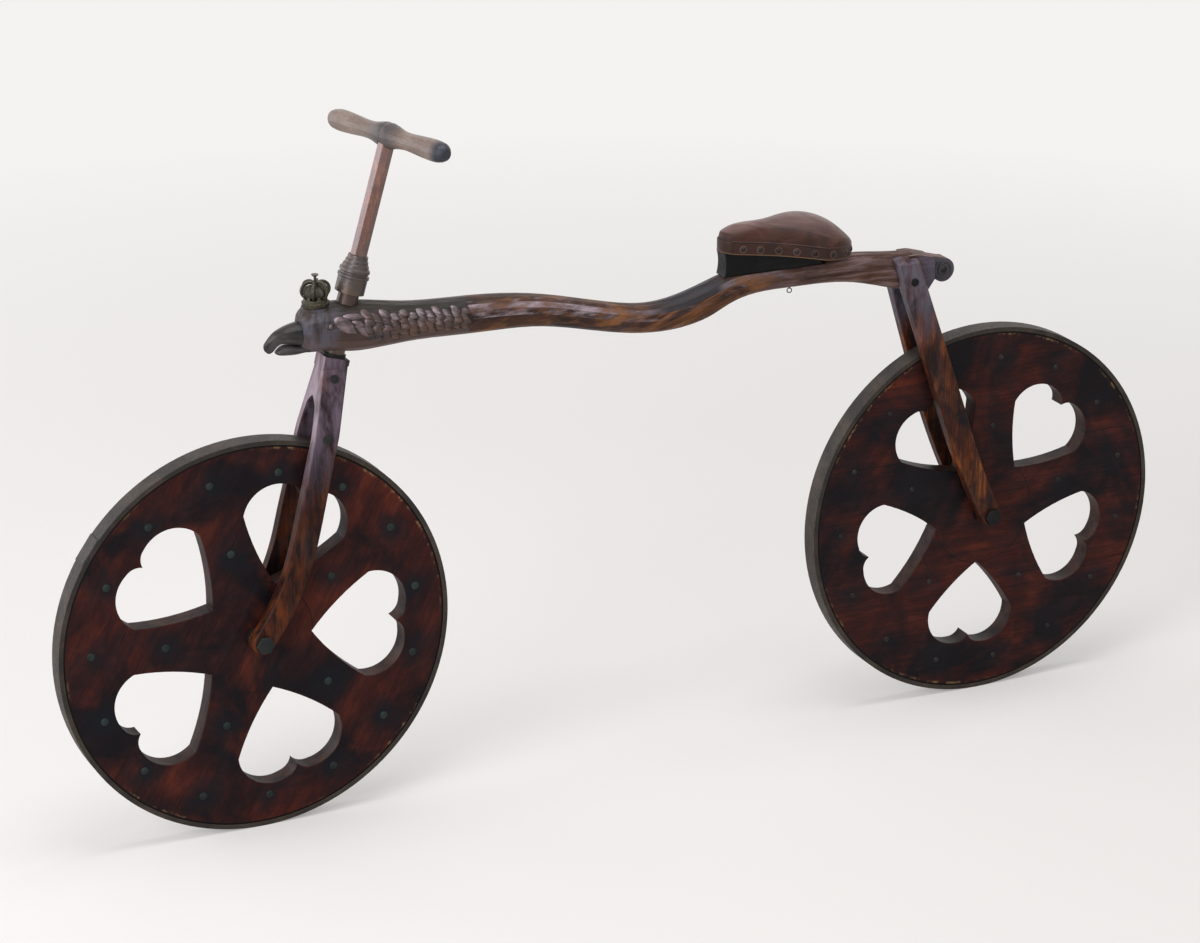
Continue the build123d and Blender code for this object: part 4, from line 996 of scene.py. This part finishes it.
def saddle_cover(material):
    """The stuffed leather of the saddle, swelled from a copy of the plain solid and smoothed."""
    pick(NODES["saddle_leather"])
    bpy.ops.object.duplicate()
    cover = bpy.context.object
    cover.name = "saddle_cover"
    cover.parent = None
    cover.data = cover.data.copy()
    for key in list(cover.keys()):
        del cover[key]
    pick(cover)
    bpy.ops.object.mode_set(mode="EDIT")
    bpy.ops.mesh.select_all(action="SELECT")
    bpy.ops.mesh.remove_doubles(threshold=MERGE_GAP)
    bpy.ops.object.mode_set(mode="OBJECT")
    cover.data.remesh_voxel_size = LEATHER_MESH
    bpy.ops.object.voxel_remesh()
    swell(cover)
    calm = cover.modifiers.new("calm", "SMOOTH")
    calm.factor = 0.5
    calm.iterations = 8
    bpy.ops.object.modifier_apply(modifier=calm.name)
    fine = cover.modifiers.new("fine", "SUBSURF")
    fine.levels = fine.render_levels = 1
    bpy.ops.object.modifier_apply(modifier=fine.name)
    bpy.ops.object.shade_smooth()
    ride_with(cover, "frame", material)
    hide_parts("saddle_leather")
    return cover


def tack_places(line):
    """Places for the tacks, evenly along a line round the leather, and none on the nose."""
    spots = [where for where, normal in line]
    runs = [0.0]
    for before, after in zip(spots, spots[1:] + spots[:1]):
        runs.append(runs[-1] + (after - before).length)
    count = 2 * round(runs[-1] / TACK_PITCH / 2)
    places = []
    for step in range(count):
        wanted = (step + 0.5) * runs[-1] / count
        where, normal = line[next(i for i, run in enumerate(runs) if run >= wanted) % len(line)]
        if (where - SADDLE_MIDDLE).dot(SADDLE_ALONG) < TACK_REACH:
            places.append(facing(where, normal))
    return places


def saddle_trim(cover, tack_iron, welt_leather, skirt_leather, pucker_leather):
    """The skirt band, the tacks with their puckers, and the welts and seams, set on the swelled leather."""
    surface = surface_of(cover)

    def skin(bearing, up, lift):
        """The leather's surface and the way out of it, at a bearing from the hips and a height."""
        out = SADDLE_ALONG * math.cos(bearing) + Vector((0.0, math.sin(bearing), 0.0))
        where, normal = meet(surface, on_saddle(HIPS, 0, up), out, 0.3, 0.4)
        return where + normal * lift, normal

    def outline(up, lift):
        """The leather's surface all round at one height, four times in each degree."""
        return [skin(math.radians(turn / 4), up, lift) for turn in range(1440)]

    band = [where for where, normal in outline(SKIRT_MIDDLE, SKIRT_LIFT)[::8]]
    ride_with(tube_along(band, SKIRT_THICK, "saddle_skirt", True, SKIRT_HALF), "frame", skirt_leather)
    places = tack_places(outline(TACK_LINE, TACK_LIFT))
    ride_with(stamp(round_head(*TACK), places, "saddle_tacks"), "frame", tack_iron)
    ride_with(stamp(squashed_ring(*PUCKER), places, "tack_puckers"), "frame", pucker_leather)
    for side, name in ((1, "welt_left"), (-1, "welt_right")):
        path = []
        for step in range(WELT_STEPS):
            bearing = side * math.radians(WELT_START + step * WELT_TURN)
            sunk = -WELT_SINK * max(0.0, (step - WELT_SINK_START) / WELT_SINK_STEPS)
            path.append(skin(bearing, WELT_LINE - WELT_FALL * step, WELT_LIFT + sunk)[0])
        ride_with(tube_along(path, WELT_RADIUS, name), "frame", welt_leather)
        bearing = side * math.radians(SEAM_TURN)
        seam = [skin(bearing, SEAM_TOP - step * SEAM_STEP, SEAM_LIFT)[0] for step in range(SEAM_STEPS)]
        ride_with(tube_along(seam, SEAM_RADIUS, name + "_seam"), "frame", welt_leather)


# Small pieces of the backbone

def screw_eye(material):
    """A small screw eye under the backbone, below the saddle."""
    root = BACKBONE_SURFACE.ray_cast(SCREW_EYE_BELOW, Vector((0, 0, 1)), 0.3)[0]
    ring = squashed_ring(*SCREW_RING)
    choose_points(ring, lambda p: p.x > RING_OPEN_FROM)
    bpy.ops.transform.translate(value=(RING_OPENING, 0, 0))
    bpy.ops.object.mode_set(mode="OBJECT")
    place = facing(root + Vector((0, 0, -RING_DROP)), RING_WAY, (0, 0, 1))
    ride_with(stamp(ring, [place], "screw_eye_ring"), "frame", material)
    line = [root + Vector((0, 0, up)) for up in SHANK_LINE]
    ride_with(tube_along(line, SHANK_RADIUS, "screw_eye_shank"), "frame", material)


def scroll_volutes(material, core):
    """A carved volute on each end of the tail scroll."""
    for side, name in ((1, "volute_left"), (-1, "volute_right")):
        path = []
        for step in range(VOLUTE_STEPS):
            turn = VOLUTE_START - step * VOLUTE_TURN
            away = VOLUTE_REACH * (1.0 - step / VOLUTE_CLOSING)
            out = Vector((away * math.cos(turn), side * VOLUTE_SIDE, away * math.sin(turn)))
            path.append(SCROLL_MIDDLE + out)
        ride_with(tube_along(path, VOLUTE_RADIUS, name), "frame", material)
        place = facing(SCROLL_MIDDLE + Vector((0, side * VOLUTE_SIDE, 0)), (0, side, 0))
        ride_with(stamp(round_head(*VOLUTE_EYE), [place], name + "_eye"), "frame", core)


# Studio

def seen_paper(tree):
    """A grey that is 1 where the camera sees the paper, straight on, in a shine or through a clear piece."""
    rays = add_node(tree, "LightPath").outputs
    shiny = calc(tree, "MAXIMUM", rays["Is Glossy Ray"], rays["Is Transmission Ray"])
    return calc(tree, "MAXIMUM", rays["Is Camera Ray"], shiny)


def studio_floor():
    """A wide pale floor that looks almost white and keeps a faint shadow."""
    clear_selection()
    bpy.ops.mesh.primitive_plane_add(size=FLOOR_SIZE, location=(FLOOR_X, 0.0, FLOOR_Z))
    floor = bpy.context.object
    floor.name = "studio_floor"
    made, tree, shader = material_nodes("floor_paper")
    finish_shader(tree, shader, {},
                  {"Base Color": (*FLOOR_PAPER, 1.0), "Roughness": 0.9, "Specular IOR Level": 0.1})
    glow = add_node(tree, "Emission", {"Color": (*PALE_PAPER, 1.0), "Strength": 1.0})
    far = span(tree, length_of(tree, place_coords(tree)), 1.5, 3.6, 0.30, 1.0)
    share = times(tree, seen_paper(tree), far)
    both = add_node(tree, "MixShader", {0: share, 1: shader.outputs[0], 2: glow.outputs[0]})
    tree.links.new(both.outputs[0], tree.nodes["Material Output"].inputs["Surface"])
    floor.data.materials.append(made)


def soft_light(name, place, target, size, power, colour):
    """One large soft lamp."""
    lamp = bpy.data.lights.new(name, "AREA")
    lamp.shape = "RECTANGLE"
    lamp.size, lamp.size_y = size
    lamp.energy = power
    lamp.color = colour
    holder = bpy.data.objects.new(name, lamp)
    bpy.context.collection.objects.link(holder)
    holder.location = place
    holder.rotation_euler = (Vector(target) - Vector(place)).to_track_quat("-Z", "Y").to_euler()


def studio_light():
    """A dim dome that looks like pale paper, and large soft lamps on all sides of the machine and above it."""
    world = bpy.data.worlds.new("studio")
    bpy.context.scene.world = world
    world.use_nodes = True
    tree = world.node_tree
    dome = tree.nodes["Background"]
    finish_shader(tree, dome, {}, {"Color": (*DOME_COLOUR, 1.0), "Strength": DOME_STRENGTH})
    seen = add_node(tree, "Background", {"Color": (*PALE_PAPER, 1.0), "Strength": 1.0})
    both = add_node(tree, "MixShader", {0: seen_paper(tree), 1: dome.outputs[0], 2: seen.outputs[0]})
    tree.links.new(both.outputs[0], tree.nodes["World Output"].inputs["Surface"])
    for lamp in LAMPS:
        soft_light(*lamp)


def photo_camera():
    """The photograph's viewpoint."""
    lens = bpy.data.cameras.new("photo_camera")
    lens.sensor_fit = "HORIZONTAL"
    lens.sensor_width = CAMERA_SENSOR
    lens.lens = CAMERA_LENS
    lens.clip_end = 200.0
    holder = bpy.data.objects.new("photo_camera", lens)
    bpy.context.collection.objects.link(holder)
    holder.location = CAMERA_PLACE
    holder.rotation_euler = CAMERA_AIM.to_track_quat("-Z", "Y").to_euler()
    bpy.context.scene.camera = holder


# The work, from the wheels to the studio

def dress_wheels(black_nail):
    """Nails on both wheels and the lap of the front hoop."""
    verdigris = old_iron("verdigris_nail", (0.010, 0.016, 0.015), (0.022, 0.036, 0.030), 0.6, 0.3, 0.4)
    wheel_nails("front", FRONT_HUB, FRONT_NAIL_ANGLE, FRONT_NAIL, verdigris)
    wheel_nails("rear", REAR_HUB, REAR_NAIL_ANGLE, REAR_NAIL, black_nail)
    hoop_lap(old_iron("lap_iron", (0.030, 0.026, 0.023), (0.060, 0.045, 0.034), 0.6, 0.4, 0.45))


def dress_head():
    """The carving of the head and neck, and the crown."""
    feather_wood = old_wood("feather_wood", FEATHER_TONES, blotch=24.0, gloss=0.34, coat=0.3, bloom=0.2,
                            cover=(0.50, 0.70), shine=0.2, extra=carved_highlight_and_shade)
    neck_feathers(feather_wood)
    # The cheek leaves wear a paler copy of the feather wood as a painted highlight
    cheek_leaves(old_wood("cheek_highlight_wood", CHEEK_HIGHLIGHT_TONES, blotch=30.0, gloss=0.34, coat=0.2, bloom=0.5,
                          cover=(0.52, 0.72), shine=0.2, extra=carved_highlight_and_shade))
    eyes(feather_wood)
    crown_bronze = old_iron("crown_bronze", (0.034, 0.031, 0.023), (0.075, 0.066, 0.044), 0.45, 0.45, 0.6)
    paint(crown_bronze, "crown")
    crown_trim(crown_bronze)
    crown_cap(old_iron("cap_bronze", (0.026, 0.024, 0.018), (0.066, 0.058, 0.042), 0.6, 0.3, 0.3))


def dress_saddle():
    """The swelled leather and what is sewn and tacked on it."""
    cover = saddle_cover(old_leather("saddle_hide", SADDLE_HIDE))
    saddle_trim(
        cover,
        old_iron("tack_iron", (0.014, 0.012, 0.012), (0.040, 0.030, 0.026), 0.4, 0.5),
        old_leather("welt_hide", WELT_HIDE, edge_tan=False),
        old_leather("skirt_hide", SKIRT_HIDE),
        old_leather("pucker_hide", PUCKER_HIDE, edge_tan=False),
    )


finish_wheels()
finish_woodwork()
finish_ironwork()
black_iron = old_iron("black_nail", (0.014, 0.014, 0.015), (0.030, 0.027, 0.024), 0.5, 0.4, 0.6)
dress_wheels(black_iron)
dress_head()
dress_saddle()
screw_eye(black_iron)
scroll_volutes(old_wood("volute_wood", VOLUTE_TONES, blotch=30.0), black_iron)
studio_floor()
studio_light()
photo_camera()
bpy.context.scene.view_settings.view_transform = "Standard"
